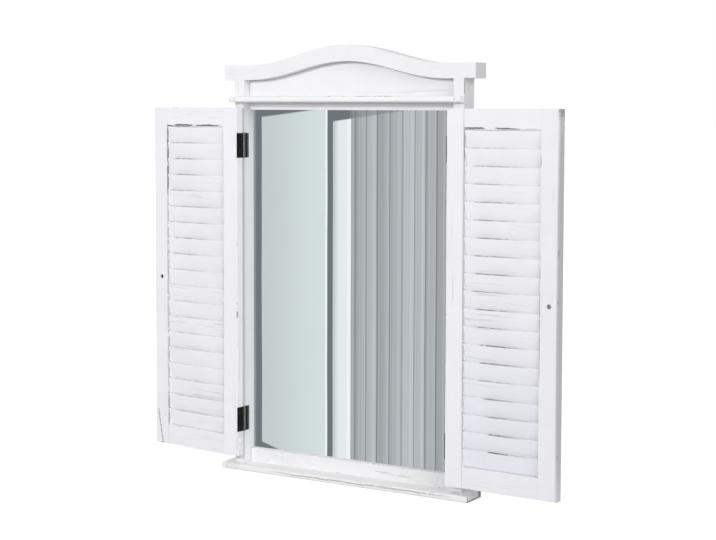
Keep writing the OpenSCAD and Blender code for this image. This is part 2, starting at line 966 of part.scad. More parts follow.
module slats(side) {
    color("ghostwhite")
        at_shutter(side)
            slat_row(slat_house, 0);
}

module left_slats() {
    slats(-1);
}

module right_slats() {
    slats(1);
}

// Turned knob: a short neck that widens into a rounded head
module knob(side) {
    neck_r = knob_d * knob_neck_share;
    rim_r = knob_h * knob_rim_share;
    rim_x = knob_d / 2 - rim_r;
    color("whitesmoke")
        at_shutter(side)
            translate([knob_x, shutter_y1, knob_z])
                rotate([-90, 0, 0])
                    difference() {
                        rotate_extrude($fn = round_fn)
                            polygon(concat(
                                [[0, 0], [neck_r * knob_flare, 0], [neck_r, knob_h * knob_neck_share]],
                                [for (a = [-40:10:90])
                                    [rim_x + rim_r * cos(a), knob_h - rim_r + rim_r * sin(a)]],
                                [[0, knob_h]]
                            ));
                        translate([0, 0, -past])
                            cylinder(h = knob_bore_l + past, r = knob_screw_r + hole_play, $fn = round_fn);
                    }
}

module left_knob() {
    knob(-1);
}

module right_knob() {
    knob(1);
}

// Pan-headed screw that comes through the meeting stile into the knob
module knob_screw(side) {
    shank = shutter_t - knob_recess_h + knob_bore_l - head_clear;
    color("gray")
        at_shutter(side)
            translate([knob_x, shutter_y0 + knob_recess_h, knob_z])
                rotate([-90, 0, 0])
                    difference() {
                        rotate_extrude($fn = round_fn)
                            polygon([[0, -knob_screw_head_l],
                                [knob_screw_head_r * dome_flat_share, -knob_screw_head_l],
                                [knob_screw_head_r, -knob_screw_head_l / 2], [knob_screw_head_r, 0],
                                [knob_screw_r, 0], [knob_screw_r, shank - tip_l], [0, shank]]);
                        cross_recess(knob_screw_head_r, -knob_screw_head_l - past, -knob_screw_head_l / 2);
                    }
}

module left_knob_screw() {
    knob_screw(-1);
}

module right_knob_screw() {
    knob_screw(1);
}

left_stile();
right_stile();
top_rail();
bottom_rail();
header_panel();
arched_cornice();
ledge_moulding();
sill_board();
mirror_glass();
backing_board();
backing_brads();
left_hanger_plate();
right_hanger_plate();
hanger_screws();
ledge_nails();
sill_screws();
cornice_nails();
left_upper_frame_leaf();
left_lower_frame_leaf();
right_upper_frame_leaf();
right_lower_frame_leaf();
left_upper_hinge_pin();
left_lower_hinge_pin();
right_upper_hinge_pin();
right_lower_hinge_pin();
frame_hinge_screws();
left_upper_shutter_leaf();
left_lower_shutter_leaf();
left_shutter_hinge_screws();
left_hinge_stile();
left_meeting_stile();
left_shutter_top_rail();
left_shutter_bottom_rail();
left_slats();
left_knob();
left_knob_screw();
right_upper_shutter_leaf();
right_lower_shutter_leaf();
right_shutter_hinge_screws();
right_hinge_stile();
right_meeting_stile();
right_shutter_top_rail();
right_shutter_bottom_rail();
right_slats();
right_knob();
right_knob_screw();
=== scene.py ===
"""Looks for the shutter mirror: rubbed white paint, silvered glass, dark bronze hinges and zinc fixings."""

import json
import math

import bpy
import bmesh
import numpy as np
from mathutils import Matrix, Vector, noise

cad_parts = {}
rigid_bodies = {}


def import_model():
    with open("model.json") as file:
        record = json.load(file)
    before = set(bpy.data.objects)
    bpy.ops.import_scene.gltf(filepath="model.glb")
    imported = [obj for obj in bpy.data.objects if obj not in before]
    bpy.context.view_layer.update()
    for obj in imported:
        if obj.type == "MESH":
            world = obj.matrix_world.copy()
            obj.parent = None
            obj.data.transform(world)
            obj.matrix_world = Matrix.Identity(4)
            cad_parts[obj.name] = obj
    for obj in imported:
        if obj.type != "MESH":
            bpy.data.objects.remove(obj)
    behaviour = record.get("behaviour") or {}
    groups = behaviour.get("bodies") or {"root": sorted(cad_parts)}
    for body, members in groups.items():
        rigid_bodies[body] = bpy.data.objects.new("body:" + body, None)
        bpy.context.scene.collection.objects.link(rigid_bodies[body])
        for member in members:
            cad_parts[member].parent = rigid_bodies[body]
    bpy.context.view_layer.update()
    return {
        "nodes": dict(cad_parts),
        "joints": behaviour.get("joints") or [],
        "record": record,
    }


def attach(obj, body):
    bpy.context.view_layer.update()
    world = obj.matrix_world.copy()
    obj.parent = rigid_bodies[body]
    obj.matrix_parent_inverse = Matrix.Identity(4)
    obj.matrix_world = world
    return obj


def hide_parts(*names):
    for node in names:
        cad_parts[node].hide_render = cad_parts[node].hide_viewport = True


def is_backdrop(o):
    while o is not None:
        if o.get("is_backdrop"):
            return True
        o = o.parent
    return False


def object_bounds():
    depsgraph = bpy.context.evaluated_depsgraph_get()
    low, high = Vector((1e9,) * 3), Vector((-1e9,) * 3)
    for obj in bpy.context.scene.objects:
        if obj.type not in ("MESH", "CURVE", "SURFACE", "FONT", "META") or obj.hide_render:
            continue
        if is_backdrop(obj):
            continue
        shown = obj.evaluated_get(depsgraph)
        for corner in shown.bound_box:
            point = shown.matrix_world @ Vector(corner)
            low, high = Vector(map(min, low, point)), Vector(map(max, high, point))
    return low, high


bl_info = {
    "name": "Shutter mirror looks",
    "version": (1, 0, 0),
    "blender": (4, 5, 0),
    "location": "3D View > Sidebar > Shutter mirror",
    "description": "Dresses the packed shutter mirror in paint, glass and metal, and sets its studio",
    "category": "Object",
}

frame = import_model()
NODES = frame["nodes"]
JOINTS = {joint["child"]: joint for joint in frame["joints"]}
SIDES = {"left": -1, "right": 1}

# ---- places ----


def shutter_place(side):
    """The hinge line of a shutter, and the angle in radians by which its mesh is turned past flat along the wall."""
    joint = JOINTS[side + "_shutter"]
    turn = math.radians(-joint["range_deg"][0] - 180) * SIDES[side]
    return Vector(joint["pos_m"]) * Vector((1, 1, 0)), turn


def flat_points(node):
    """A node's points in board coordinates: a shutter's pieces are turned to lie flat along the wall."""
    mesh = NODES[node].data
    points = np.empty(len(mesh.vertices) * 3, np.float32)
    mesh.vertices.foreach_get("co", points)
    points = points.reshape(-1, 3).astype(float)
    side = next((s for s in SIDES if node in frame["record"]["behaviour"]["bodies"][s + "_shutter"]), None)
    if side:
        hinge, turn = shutter_place(side)
        c, s = math.cos(-turn), math.sin(-turn)
        points = (points - hinge) @ np.array(((c, s, 0), (-s, c, 0), (0, 0, 1))) + hinge
    return points, side


def board_box(node):
    """Lowest and highest corner of a node in board coordinates, and its shutter's side or None."""
    points, side = flat_points(node)
    return Vector(points.min(0)), Vector(points.max(0)), side


# ---- shader helpers ----


def plug(tree, value, socket):
    """Links a shader value to a socket, or sets the socket to a plain value."""
    if isinstance(value, bpy.types.NodeSocket):
        tree.links.new(value, socket)
    else:
        socket.default_value = value


def node(tree, kind, out=0, feeds=None, **settings):
    """Adds a shader node, sets or links its inputs, and gives one of its outputs."""
    made = tree.nodes.new("ShaderNode" + kind)
    for name, value in settings.items():
        setattr(made, name, value)
    for key, value in (feeds or {}).items():
        plug(tree, value, made.inputs[key])
    return made.outputs[out]


def sums(tree, operation, *values):
    """A sum of shader values, such as ADD or MULTIPLY_ADD."""
    return node(tree, "Math", feeds=dict(enumerate(values)), operation=operation)


def product(tree, a, b):
    """One shader value times another."""
    return sums(tree, "MULTIPLY", a, b)


def vectors(tree, operation, *values, out=0):
    """A sum of vectors. LENGTH gives its result at out=1."""
    return node(tree, "VectorMath", out, dict(enumerate(values)), operation=operation)


def split(tree, vector):
    """The X, Y and Z of a vector."""
    made = tree.nodes.new("ShaderNodeSeparateXYZ")
    tree.links.new(vector, made.inputs[0])
    return made.outputs


def fade(tree, value, low, high, to_low=0.0, to_high=1.0):
    """Smooth step of a value between low and high."""
    feeds = {"Value": value, "From Min": low, "From Max": high, "To Min": to_low, "To Max": to_high}
    return node(tree, "MapRange", feeds=feeds, interpolation_type="SMOOTHSTEP")


def between(tree, value, low, high, soft):
    """1 from low to high, with both ends softened."""
    return product(tree, fade(tree, value, low, low + soft), fade(tree, value, high, high + soft, 1.0, 0.0))


def clouds(tree, place, scale, detail=3.0, rough=0.5, turn=0.0):
    """Noise between 0 and 1 over a place in metres."""
    feeds = {"Vector": place, "Scale": scale, "Detail": detail, "Roughness": rough, "Distortion": turn}
    return node(tree, "TexNoise", feeds=feeds)


def blend(tree, factor, a, b, mode="MIX"):
    """Colour a where the factor is 0, colour b where it is 1."""
    made = tree.nodes.new("ShaderNodeMix")
    made.data_type, made.blend_type = "RGBA", mode
    for index, value in ((0, factor), (6, a), (7, b)):
        plug(tree, value, made.inputs[index])
    return made.outputs[2]


def scaled(tree, shade, level):
    """A colour times a level."""
    return blend(tree, 1.0, colour(shade), node(tree, "CombineXYZ", feeds={0: level, 1: level, 2: level}), "MULTIPLY")


def colour(values, times=1.0):
    """A setting or a tone as a colour that a socket takes."""
    return (*(value * times for value in values[:3]), 1.0)


def new_group(name, inputs, outputs):
    """An empty node group: inputs are (name, kind, default), outputs are (name, kind)."""
    tree = bpy.data.node_groups.new(name, "ShaderNodeTree")
    for label, kind, default in inputs:
        socket = tree.interface.new_socket(label, in_out="INPUT", socket_type="NodeSocket" + kind)
        if default is not None:
            socket.default_value = default
    for label, kind in outputs:
        tree.interface.new_socket(label, in_out="OUTPUT", socket_type="NodeSocket" + kind)
    return tree, tree.nodes.new("NodeGroupInput").outputs, tree.nodes.new("NodeGroupOutput").inputs


def use(tree, name, out, **feeds):
    """Places a node group in a material and gives the named outputs."""
    made = tree.nodes.new("ShaderNodeGroup")
    made.node_tree = bpy.data.node_groups[name]
    for key, value in feeds.items():
        plug(tree, value, made.inputs[key])
    return [made.outputs[label] for label in out] if isinstance(out, tuple) else made.outputs[out]


def new_material(name):
    """A material with its node tree, its Principled BSDF and the object's own coordinates."""
    made = bpy.data.materials.new(name)
    made.use_nodes = True
    tree = made.node_tree
    return made, tree, tree.nodes["Principled BSDF"], tree.nodes.new("ShaderNodeTexCoord").outputs["Object"]


def feed(tree, bsdf, **feeds):
    """Sets or links a shader's inputs, with _ for a space in their names."""
    for key, value in feeds.items():
        plug(tree, value, bsdf.inputs[key.replace("_", " ")])


def bump(tree, bsdf, height, distance, strength=1.0):
    """Gives a shader the relief of a height."""
    feed(tree, bsdf, Normal=node(tree, "Bump", feeds={"Height": height, "Distance": distance, "Strength": strength}))


def dress(name, made):
    """Gives a CAD node its material."""
    slots = NODES[name].data.materials
    slots.clear()
    slots.append(made)


# ---- effects that several materials share ----


def make_edge_wear():
    """Rubbed edges: near the edges of a board's box, broken up by noise."""
    inputs = [("Place", "Vector", None), ("Low", "Vector", None), ("High", "Vector", None), ("Width", "Float", 0.0012),
              ("Amount", "Float", 0.3), ("Seed", "Float", 0.0)]
    tree, given, gives = new_group("edge wear", inputs, [("Wear", "Float")])
    place = given["Place"]
    near = vectors(tree, "MINIMUM", vectors(tree, "SUBTRACT", place, given["Low"]),
                   vectors(tree, "SUBTRACT", given["High"], place))
    x, y, z = split(tree, near)
    edge = sums(tree, "MAXIMUM", sums(tree, "MINIMUM", x, y), sums(tree, "MINIMUM", sums(tree, "MAXIMUM", x, y), z))
    shifted = vectors(tree, "ADD", place, node(tree, "CombineXYZ", feeds={0: given["Seed"], 2: given["Seed"]}))
    ragged = clouds(tree, shifted, 420.0, 3.0, 0.6)
    reach = product(tree, given["Width"], sums(tree, "MULTIPLY_ADD", ragged, 3.4, -0.7))
    rubbed = fade(tree, edge, reach, product(tree, reach, 0.45))
    patches = clouds(tree, shifted, 26.0, 4.0, 0.62)
    limit = sums(tree, "SUBTRACT", 0.74, product(tree, given["Amount"], 0.5))
    broken = fade(tree, patches, limit, sums(tree, "ADD", limit, 0.05))
    tree.links.new(product(tree, rubbed, broken), gives["Wear"])


def make_brush_streaks():
    """Brush marks along the grain: a fine ripple for the bump, and sparse thin grey strokes."""
    inputs = [("Place", "Vector", None), ("Along", "Vector", (1, 1, 1)), ("Seed", "Float", 0.0)]
    tree, given, gives = new_group("brush streaks", inputs, [(out, "Float") for out in ("Ripple", "Stroke", "Mottle")])
    shifted = vectors(tree, "ADD", given["Place"], node(tree, "CombineXYZ", feeds={0: given["Seed"], 1: given["Seed"]}))
    drawn = vectors(tree, "MULTIPLY", shifted, given["Along"])
    tree.links.new(clouds(tree, drawn, 520.0, 4.0, 0.55), gives["Ripple"])
    fine = clouds(tree, drawn, 300.0, 3.0, 0.5, 0.3)
    where = clouds(tree, drawn, 45.0, 2.0, 0.5)
    stroke = product(tree, fade(tree, fine, 0.56, 0.68), fade(tree, where, 0.5, 0.66))
    tree.links.new(stroke, gives["Stroke"])
    tree.links.new(clouds(tree, shifted, 14.0, 3.0, 0.6), gives["Mottle"])


def make_rubbed_mark():
    """One wavy mark round Middle, for rubbed wood or for a painted shade, with tapered ends, blurred by Soft, and
    broken up.
    """
    inputs = [("Place", "Vector", None), ("Middle", "Vector", None), ("Reach", "Vector", None), ("Soft", "Float", 0.3),
              ("Wobble", "Float", 0.001), ("Broken", "Float", 0.4)]
    tree, given, gives = new_group("rubbed mark", inputs, [("Mark", "Float")])
    place = given["Place"]
    shake = node(tree, "TexNoise", 1, {"Vector": place, "Scale": 42.0, "Detail": 4.0, "Roughness": 0.6})
    shake = vectors(tree, "SUBTRACT", shake, (0.5, 0.5, 0.5))
    wobble = node(tree, "VectorMath", 0, {0: shake, "Scale": given["Wobble"]}, operation="SCALE")
    shaken = vectors(tree, "ADD", place, wobble)
    out = vectors(tree, "DIVIDE", vectors(tree, "SUBTRACT", shaken, given["Middle"]), given["Reach"])
    far = vectors(tree, "LENGTH", vectors(tree, "MULTIPLY", out, out), out=1)
    mark = fade(tree, far, sums(tree, "SUBTRACT", 1.0, given["Soft"]), sums(tree, "ADD", 1.0, given["Soft"]), 1.0, 0.0)
    gaps = fade(tree, clouds(tree, place, 120.0, 3.0, 0.6), sums(tree, "SUBTRACT", given["Broken"], 0.07),
                sums(tree, "ADD", given["Broken"], 0.07))
    tree.links.new(product(tree, mark, gaps), gives["Mark"])


# ---- paint ----

# The arch under the cornice is one wave of a cosine: half its width, half its rise and its middle height
ARCH = (0.183, 0.0145, 0.6695)

# Brush marks and grain are drawn out along one axis
GRAIN = {"X": (0.045, 1.0, 1.0), "Z": (1.0, 1.0, 0.045)}

# Depth of the brush marks in metres, before the relief setting
BRUSH_DEPTH = 0.00022

# Places rubbed through to the wood: low corner, high corner, blur, wobble, gaps, strength. The dark lines along the
# edges of the louvre openings are wear and painted shadow together.
RUBBED_AND_SHADOWED = {
    "left_shutter_top_rail": [
        ((-0.358, -0.056, 0.5767), (-0.336, -0.05, 0.5784), 0.3, 0.004, 0.25, 0.95),
        ((-0.339, -0.056, 0.5773), (-0.298, -0.05, 0.5802), 0.3, 0.006, 0.25, 1.0),
        ((-0.291, -0.056, 0.5775), (-0.238, -0.05, 0.5808), 0.4, 0.008, 0.3, 1.0),
        ((-0.243, -0.056, 0.5768), (-0.2275, -0.05, 0.578), 0.6, 0.002, 0.35, 0.45)],
    "right_shutter_top_rail": [
        ((0.226, -0.056, 0.5775), (0.262, -0.05, 0.58), 0.3, 0.0065, 0.25, 0.95),
        ((0.281, -0.056, 0.5773), (0.323, -0.05, 0.5799), 0.4, 0.006, 0.28, 0.95),
        ((0.318, -0.056, 0.577), (0.357, -0.05, 0.5784), 0.6, 0.003, 0.42, 0.45)],
    "left_meeting_stile": [
        ((-0.3588, -0.056, 0.462), (-0.3564, -0.05, 0.58), 0.3, 0.002, 0.36, 0.75),
        ((-0.3586, -0.056, 0.058), (-0.3568, -0.05, 0.108), 0.6, 0.002, 0.42, 0.5),
        ((-0.3826, -0.056, 0.073), (-0.3808, -0.05, 0.084), 0.5, 0.001, 0.25, 0.75),
        ((-0.3811, -0.056, 0.0635), (-0.3793, -0.05, 0.0755), 0.5, 0.001, 0.25, 0.75),
        ((-0.3794, -0.056, 0.053), (-0.3776, -0.05, 0.066), 0.5, 0.001, 0.25, 0.75),
        ((-0.3775, -0.056, 0.043), (-0.3757, -0.05, 0.056), 0.5, 0.001, 0.25, 0.75),
        ((-0.3756, -0.056, 0.033), (-0.3738, -0.05, 0.046), 0.5, 0.001, 0.25, 0.75),
        ((-0.3735, -0.056, 0.025), (-0.3717, -0.05, 0.036), 0.5, 0.001, 0.25, 0.8),
        ((-0.3765, -0.056, 0.023), (-0.3685, -0.048, 0.0256), 0.4, 0.002, 0.25, 0.8)],
    "left_hinge_stile": [
        ((-0.228, -0.056, 0.2), (-0.2266, -0.05, 0.6), 0.6, 0.0015, 0.42, 0.5),
        ((-0.1972, -0.0545, 0.258), (-0.1955, -0.05, 0.269), 0.6, 0.001, 0.2, 0.6)],
    "right_hinge_stile": [
        ((0.2262, -0.056, 0.53), (0.2278, -0.05, 0.58), 0.5, 0.002, 0.35, 0.6)],
    "right_meeting_stile": [
        ((0.3564, -0.056, 0.523), (0.3582, -0.05, 0.538), 0.5, 0.002, 0.28, 0.7),
        ((0.3564, -0.056, 0.205), (0.3582, -0.05, 0.39), 0.5, 0.003, 0.4, 0.65),
        ((0.385, -0.058, 0.597), (0.392, -0.034, 0.612), 0.7, 0.002, 0.3, 0.45)],
    "ledge_moulding": [
        ((-0.028, -0.0515, 0.6268), (0.011, -0.0475, 0.629), 0.5, 0.0015, 0.48, 0.8),
        ((0.024, -0.0515, 0.6268), (0.057, -0.0475, 0.629), 0.5, 0.0015, 0.43, 0.8),
        ((0.062, -0.0515, 0.6268), (0.1117, -0.0475, 0.629), 0.5, 0.0015, 0.46, 0.8)],
    # Painted shadow under the ledge, in the bare wood colour
    "top_rail": [((-0.215, -0.021, 0.6145), (0.215, -0.015, 0.6195), 0.8, 0.001, 0.0, 0.26)],
    "sill_board": [
        ((-0.12, -0.0525, 0.0044), (0.09, -0.0475, 0.0062), 0.8, 0.006, 0.34, 0.6),
        ((0.06, -0.0525, 0.0052), (0.194, -0.0475, 0.0076), 0.8, 0.006, 0.36, 0.5),
        ((0.2305, -0.052, -0.002), (0.2345, 0.004, 0.0026), 0.6, 0.003, 0.36, 0.85),
        ((0.2305, -0.01, -0.002), (0.2345, 0.006, 0.012), 0.6, 0.003, 0.34, 0.8),
        ((0.2305, -0.0485, 0.001), (0.2345, -0.045, 0.009), 0.7, 0.002, 0.3, 0.5)],
    "bottom_rail": [
        ((0.044, -0.021, 0.0217), (0.079, -0.015, 0.0227), 0.6, 0.002, 0.4, 0.45),
        ((0.076, -0.021, 0.0191), (0.114, -0.015, 0.0202), 0.6, 0.002, 0.4, 0.45),
        ((0.057, -0.021, 0.0203), (0.071, -0.015, 0.0211), 0.6, 0.0015, 0.35, 0.35)],
    "left_stile": [
        ((-0.2162, -0.037, 0.0148), (-0.206, -0.031, 0.0198), 0.8, 0.004, 0.25, 0.4)],
    "right_stile": [
        ((0.2143, -0.0355, 0.63), (0.2157, -0.032, 0.657), 0.5, 0.0015, 0.4, 0.7)],
    "arched_cornice": [
        ((0.214, -0.0355, 0.6544), (0.238, -0.0325, 0.6558), 0.5, 0.001, 0.33, 0.5)],
}

# Places with a greyer coat, given in the same way. Some are stains; the rest are painted shade: on the end and side
# faces turned to the right, along the edges of the louvre openings, in the gaps along the hinges and at the right
# stile's foot.
GREYED_AND_SHADED = {
    # Grey along the opening's edge: wear and painted shade
    "left_meeting_stile": [((-0.3592, -0.056, 0.05), (-0.3566, -0.05, 0.52), 0.8, 0.0035, 0.4, 0.9)],
    # Painted shade along the opening's edge, stains at the foot, and a painted shadow in the gap along the hinge
    "left_hinge_stile": [
        ((-0.2282, -0.056, 0.07), (-0.2262, -0.05, 0.59), 0.7, 0.0012, 0.36, 0.85),
        ((-0.1985, -0.056, 0.006), (-0.1935, -0.0366, 0.08), 0.9, 0.006, 0.46, 0.35),
        ((-0.1975, -0.04, 0.01), (-0.1945, -0.0366, 0.62), 0.7, 0.0015, 0.25, 0.6)],
    # Painted shadow in the gap along the hinge, and stains at the foot
    "left_stile": [
        ((-0.197, -0.036, 0.02), (-0.195, -0.032, 0.62), 0.7, 0.0015, 0.3, 0.55),
        ((-0.2164, -0.0365, 0.012), (-0.203, -0.0315, 0.07), 0.9, 0.01, 0.45, 0.3)],
    # Painted shade along the inner edge of the louvre opening
    "right_hinge_stile": [((0.225, -0.056, 0.04), (0.2278, -0.05, 0.6), 0.8, 0.002, 0.3, 0.9)],
    # Painted shade on the outer end face, and a darker patch at its top
    "right_meeting_stile": [
        ((0.385, -0.056, 0.005), (0.392, -0.034, 0.625), 0.5, 0.0, 0.0, 1.0),
        ((0.385, -0.056, 0.59), (0.392, -0.034, 0.612), 0.7, 0.002, 0.2, 0.5)],
    # Painted shade on the right end face
    "arched_cornice": [((0.234, -0.04, 0.645), (0.237, 0.006, 0.69), 0.5, 0.0, 0.0, 0.55)],
    # Painted shade on the right end face, then beige patches and stains
    "sill_board": [
        ((0.2315, -0.06, -0.003), (0.2345, 0.008, 0.013), 0.5, 0.0, 0.0, 0.3),
        ((0.2, -0.044, 0.0085), (0.22, -0.028, 0.0115), 0.8, 0.006, 0.38, 0.35),
        ((0.22, -0.052, 0.009), (0.236, 0.004, 0.0115), 0.8, 0.004, 0.35, 0.35),
        ((-0.234, -0.056, 0.001), (-0.19, -0.02, 0.012), 0.9, 0.008, 0.44, 0.25)],
    "bottom_rail": [
        ((-0.19, -0.021, 0.008), (-0.08, -0.015, 0.036), 0.9, 0.02, 0.48, 0.12),
        ((0.06, -0.021, 0.006), (0.19, -0.015, 0.024), 0.9, 0.02, 0.5, 0.12)],
    # Painted shade on the outer side face, and a painted shadow at the foot
    "right_stile": [
        ((0.214, -0.04, -0.02), (0.217, 0.006, 0.68), 0.5, 0.0, 0.0, 0.5),
        ((0.196, -0.037, 0.0095), (0.215, -0.031, 0.013), 0.7, 0.002, 0.2, 0.6)],
}

# How much paler some boards of the shutters are than the rest
PALER = {"left_shutter_top_rail": 1.028, "left_hinge_stile": 1.022, "right_meeting_stile": 0.978,
         "right_shutter_bottom_rail": 0.978}


def board_place(tree, place, side):
    """Board coordinates in a shader: a shutter's pieces are turned to lie flat along the wall."""
    if side is None:
        return place
    hinge, turn = shutter_place(side)
    return node(tree, "VectorRotate", feeds={"Vector": place, "Center": hinge, "Angle": -turn}, rotation_type="Z_AXIS")


def rubbed(tree, place, mark):
    """Mask of one marked place, rubbed wood or painted shade: (low corner, high corner, blur, wobble, gaps, strength)
    in board coordinates.
    """
    low, high, soft, wobble, broken, strength = mark
    low, high = Vector(low), Vector(high)
    mask = use(tree, "rubbed mark", "Mark", Place=place, Middle=(low + high) / 2, Reach=(high - low) / 2, Soft=soft,
               Wobble=wobble, Broken=broken)
    return product(tree, mask, strength)


def arch_shadow_line(tree, place):
    """Mask of a painted shadow on the header panel, in a line just under the arch of the cornice."""
    half_width, half_rise, middle = ARCH
    x, _, z = split(tree, place)
    out = sums(tree, "MINIMUM", sums(tree, "ABSOLUTE", x), half_width)
    wave = sums(tree, "COSINE", product(tree, out, math.pi / half_width))
    gap = sums(tree, "SUBTRACT", sums(tree, "MULTIPLY_ADD", wave, half_rise, middle), z)
    depth = sums(tree, "MULTIPLY_ADD", clouds(tree, place, 60.0, 3.0, 0.6), 0.0022, 0.0012)
    return fade(tree, gap, product(tree, depth, 0.6), product(tree, depth, 1.4), 1.0, 0.0)


def mottled(tree, mottle, full, thin):
    """A coat of paint in two close tones."""
    return blend(tree, fade(tree, mottle, 0.3, 0.7), full, thin)


def finish_paint(tree, bsdf, shade, ripple, mottle, bare=0.0):
    """Joins a coat to its shader, with roughness and relief from the brush marks. Bare wood is rougher and deeper."""
    look = bpy.context.scene.shutter_mirror_paint
    satin = sums(tree, "MULTIPLY_ADD", ripple, 0.12, look.roughness - 0.06)
    feed(tree, bsdf, Base_Color=shade, Roughness=sums(tree, "ADD", satin, product(tree, bare, 0.2)),
         Specular_IOR_Level=0.35)
    height = sums(tree, "SUBTRACT", sums(tree, "MULTIPLY_ADD", mottle, 0.5, ripple), product(tree, bare, 1.5))
    bump(tree, bsdf, height, BRUSH_DEPTH, look.relief)


def painted(name, box, side, grain, wear=0.2, width=0.001, stroke=0.5, seed=0.0, tone=(1, 1, 1), upper=None,
            joint=None):
    """White paint for a board: rubbed through to dark wood at its marks, some of which are painted shadow; greyer in
    its greyed places, which hold stains and painted shade; a painted shadow along the joint under the arch; and the
    upper tone where it faces up, a painted top light."""
    look = bpy.context.scene.shutter_mirror_paint
    made, tree, bsdf, place = new_material("painted_" + name)
    place = board_place(tree, place, side)
    ripple, thin, mottle = use(tree, "brush streaks", ("Ripple", "Stroke", "Mottle"), Place=place, Along=GRAIN[grain],
                               Seed=seed)
    worn = use(tree, "edge wear", "Wear", Place=place, Low=box[0], High=box[1], Width=width, Amount=wear, Seed=seed)
    coat = mottled(tree, mottle, *(colour(Vector(paint[:]) * Vector(tone)) for paint in (look.paint, look.thin_paint)))
    coat = blend(tree, product(tree, thin, stroke * look.streaks), coat, colour(look.stroke))
    # Painted top light: faces that look up get the paler upper tone
    if upper:
        up = split(tree, tree.nodes.new("ShaderNodeNewGeometry").outputs["Normal"])[2]
        coat = blend(tree, fade(tree, up, 0.6, 0.9), coat, colour(upper), "MULTIPLY")
    # Greyer coat: stains, and painted shade
    for shade in GREYED_AND_SHADED.get(name, ()):
        coat = blend(tree, rubbed(tree, place, shade), coat, colour(look.grey_coat_and_shade))
    # Painted shadow under the arch of the cornice, in the grey coat
    if joint:
        coat = blend(tree, product(tree, joint(tree, place), 0.75), coat, colour(look.grey_coat_and_shade))
    bare = product(tree, worn, look.wear)
    # Rubbed wood, and the painted shadows listed with it
    for mark in RUBBED_AND_SHADOWED.get(name, ()):
        bare = sums(tree, "MAXIMUM", bare, rubbed(tree, place, mark))
    wood = blend(tree, ripple, colour(look.dark_wood), colour(look.bare_wood))
    finish_paint(tree, bsdf, blend(tree, bare, coat, wood), ripple, mottle, bare)
    return made


def paint_node(name, grain="Z", **looks):
    """Gives a CAD node its own coat of paint and softened edges."""
    low, high, side = board_box(name)
    own_seed = sum(map(ord, name)) * 0.37 % 9
    dress(name, painted(name, (low, high), side, grain, seed=own_seed, **looks))
    soften = NODES[name].modifiers.new("softened_edges", "BEVEL")
    soften.width, soften.segments = bpy.context.scene.shutter_mirror_paint.softening, 2
    soften.limit_method, soften.angle_limit = "ANGLE", math.radians(50)


# ---- settings ----


def length(label, words, default):
    """A length in metres."""
    return bpy.props.FloatProperty(name=label, description=words, default=default, unit="LENGTH", min=0.0, precision=4)


def share(label, words, default, top=1.0):
    """A share between 0 and the top."""
    return bpy.props.FloatProperty(name=label, description=words, default=default, min=0.0, max=top, subtype="FACTOR")


def tint(label, words, default, top=1.0):
    """A colour. With a top above 1 it can make paint paler."""
    return bpy.props.FloatVectorProperty(name=label, description=words, default=default, size=3, min=0.0, max=top,
                                         subtype="COLOR")


def lamp_power(label, words, default):
    """The strength of a lamp."""
    return bpy.props.FloatProperty(name=label, description=words, default=default, min=0.0, max=200.0)


class PaintSettings(bpy.types.PropertyGroup):
    paint: tint("Paint", "Full coat of white paint", (0.850, 0.847, 0.857))
    thin_paint: tint("Thin paint", "White paint where it is thinner", (0.826, 0.823, 0.837))
    lilac: tint("Lilac", "Tone of the paint on the shutters", (1.04, 1.032, 1.06), 1.5)
    cream: tint("Cream", "Tone of the paint on the sill", (1.035, 1.01, 0.99), 1.5)
    stroke: tint("Stroke", "Faint grey brush strokes", (0.66, 0.66, 0.70))
    # The grey coat also paints shade into gaps, corners and faces turned to the right
    grey_coat_and_shade: tint("Grey coat", "Greyer coat on edges and in corners", (0.50, 0.49, 0.50))
    bare_wood: tint("Bare wood", "Wood that shows where the paint is rubbed off", (0.215, 0.19, 0.185))
    dark_wood: tint("Dark wood", "Darkest grain of the bare wood", (0.095, 0.08, 0.082))
    roughness: share("Roughness", "Roughness of the paint", 0.55)
    wear: share("Wear", "How far the rubbed edges show the wood", 0.8)
    streaks: share("Streaks", "How much the brush strokes show", 0.7)
    relief: share("Relief", "Depth of the brush marks", 0.55)
    softening: length("Softening", "Width of the boards' sanded edges", 0.0006)


class SlatSettings(bpy.types.PropertyGroup):
    count: bpy.props.IntProperty(name="Slats", description="Number of slats in a shutter", default=19, min=2, max=60)
    thickness: length("Thickness", "Thickness of a slat", 0.004)
    lean: bpy.props.FloatProperty(name="Lean", description="Lean of a slat from the vertical",
                                  default=math.radians(12.523), subtype="ANGLE", unit="ROTATION")
    rounding: length("Rounding", "Radius of a slat's long edges", 0.0012)
    unevenness: length("Unevenness", "How far a slat's edges wander", 0.0004)
    paint: tint("Slat paint", "White paint on the slats", (0.902, 0.90, 0.943))
    # The dark line on the slats' top edges is rubbed wear with a painted crevice shadow
    line: tint("Rubbed edge", "Top edges of the slats, where they are rubbed", (0.16, 0.15, 0.17))


class MetalSettings(bpy.types.PropertyGroup):
    bronze: tint("Bronze", "Dark finish of the hinges", (0.026, 0.023, 0.023))
    brown: tint("Brown", "Browner patches of the hinges", (0.075, 0.045, 0.035))
    # The lighter bronze is rubbed wear and a painted highlight
    worn_and_highlit_bronze: tint("Worn bronze", "Rubbed knuckles of the hinges", (0.26, 0.24, 0.235))
    zinc: tint("Zinc", "Zinc plating of the hanger plates and screws", (0.62, 0.63, 0.65))
    nail: tint("Nail steel", "Dulled steel of the nails", (0.40, 0.39, 0.38))
    black: tint("Blackened steel", "Screws that hold the knobs", (0.07, 0.07, 0.075))


class GlassSettings(bpy.types.PropertyGroup):
    silver: tint("Silver", "Colour of the silvering seen through the glass", (0.865, 0.90, 0.895))
    roughness: share("Roughness", "Roughness of the mirror", 0.012)
    board: tint("Backing board", "Pressed fibre board behind the glass", (0.23, 0.13, 0.07))


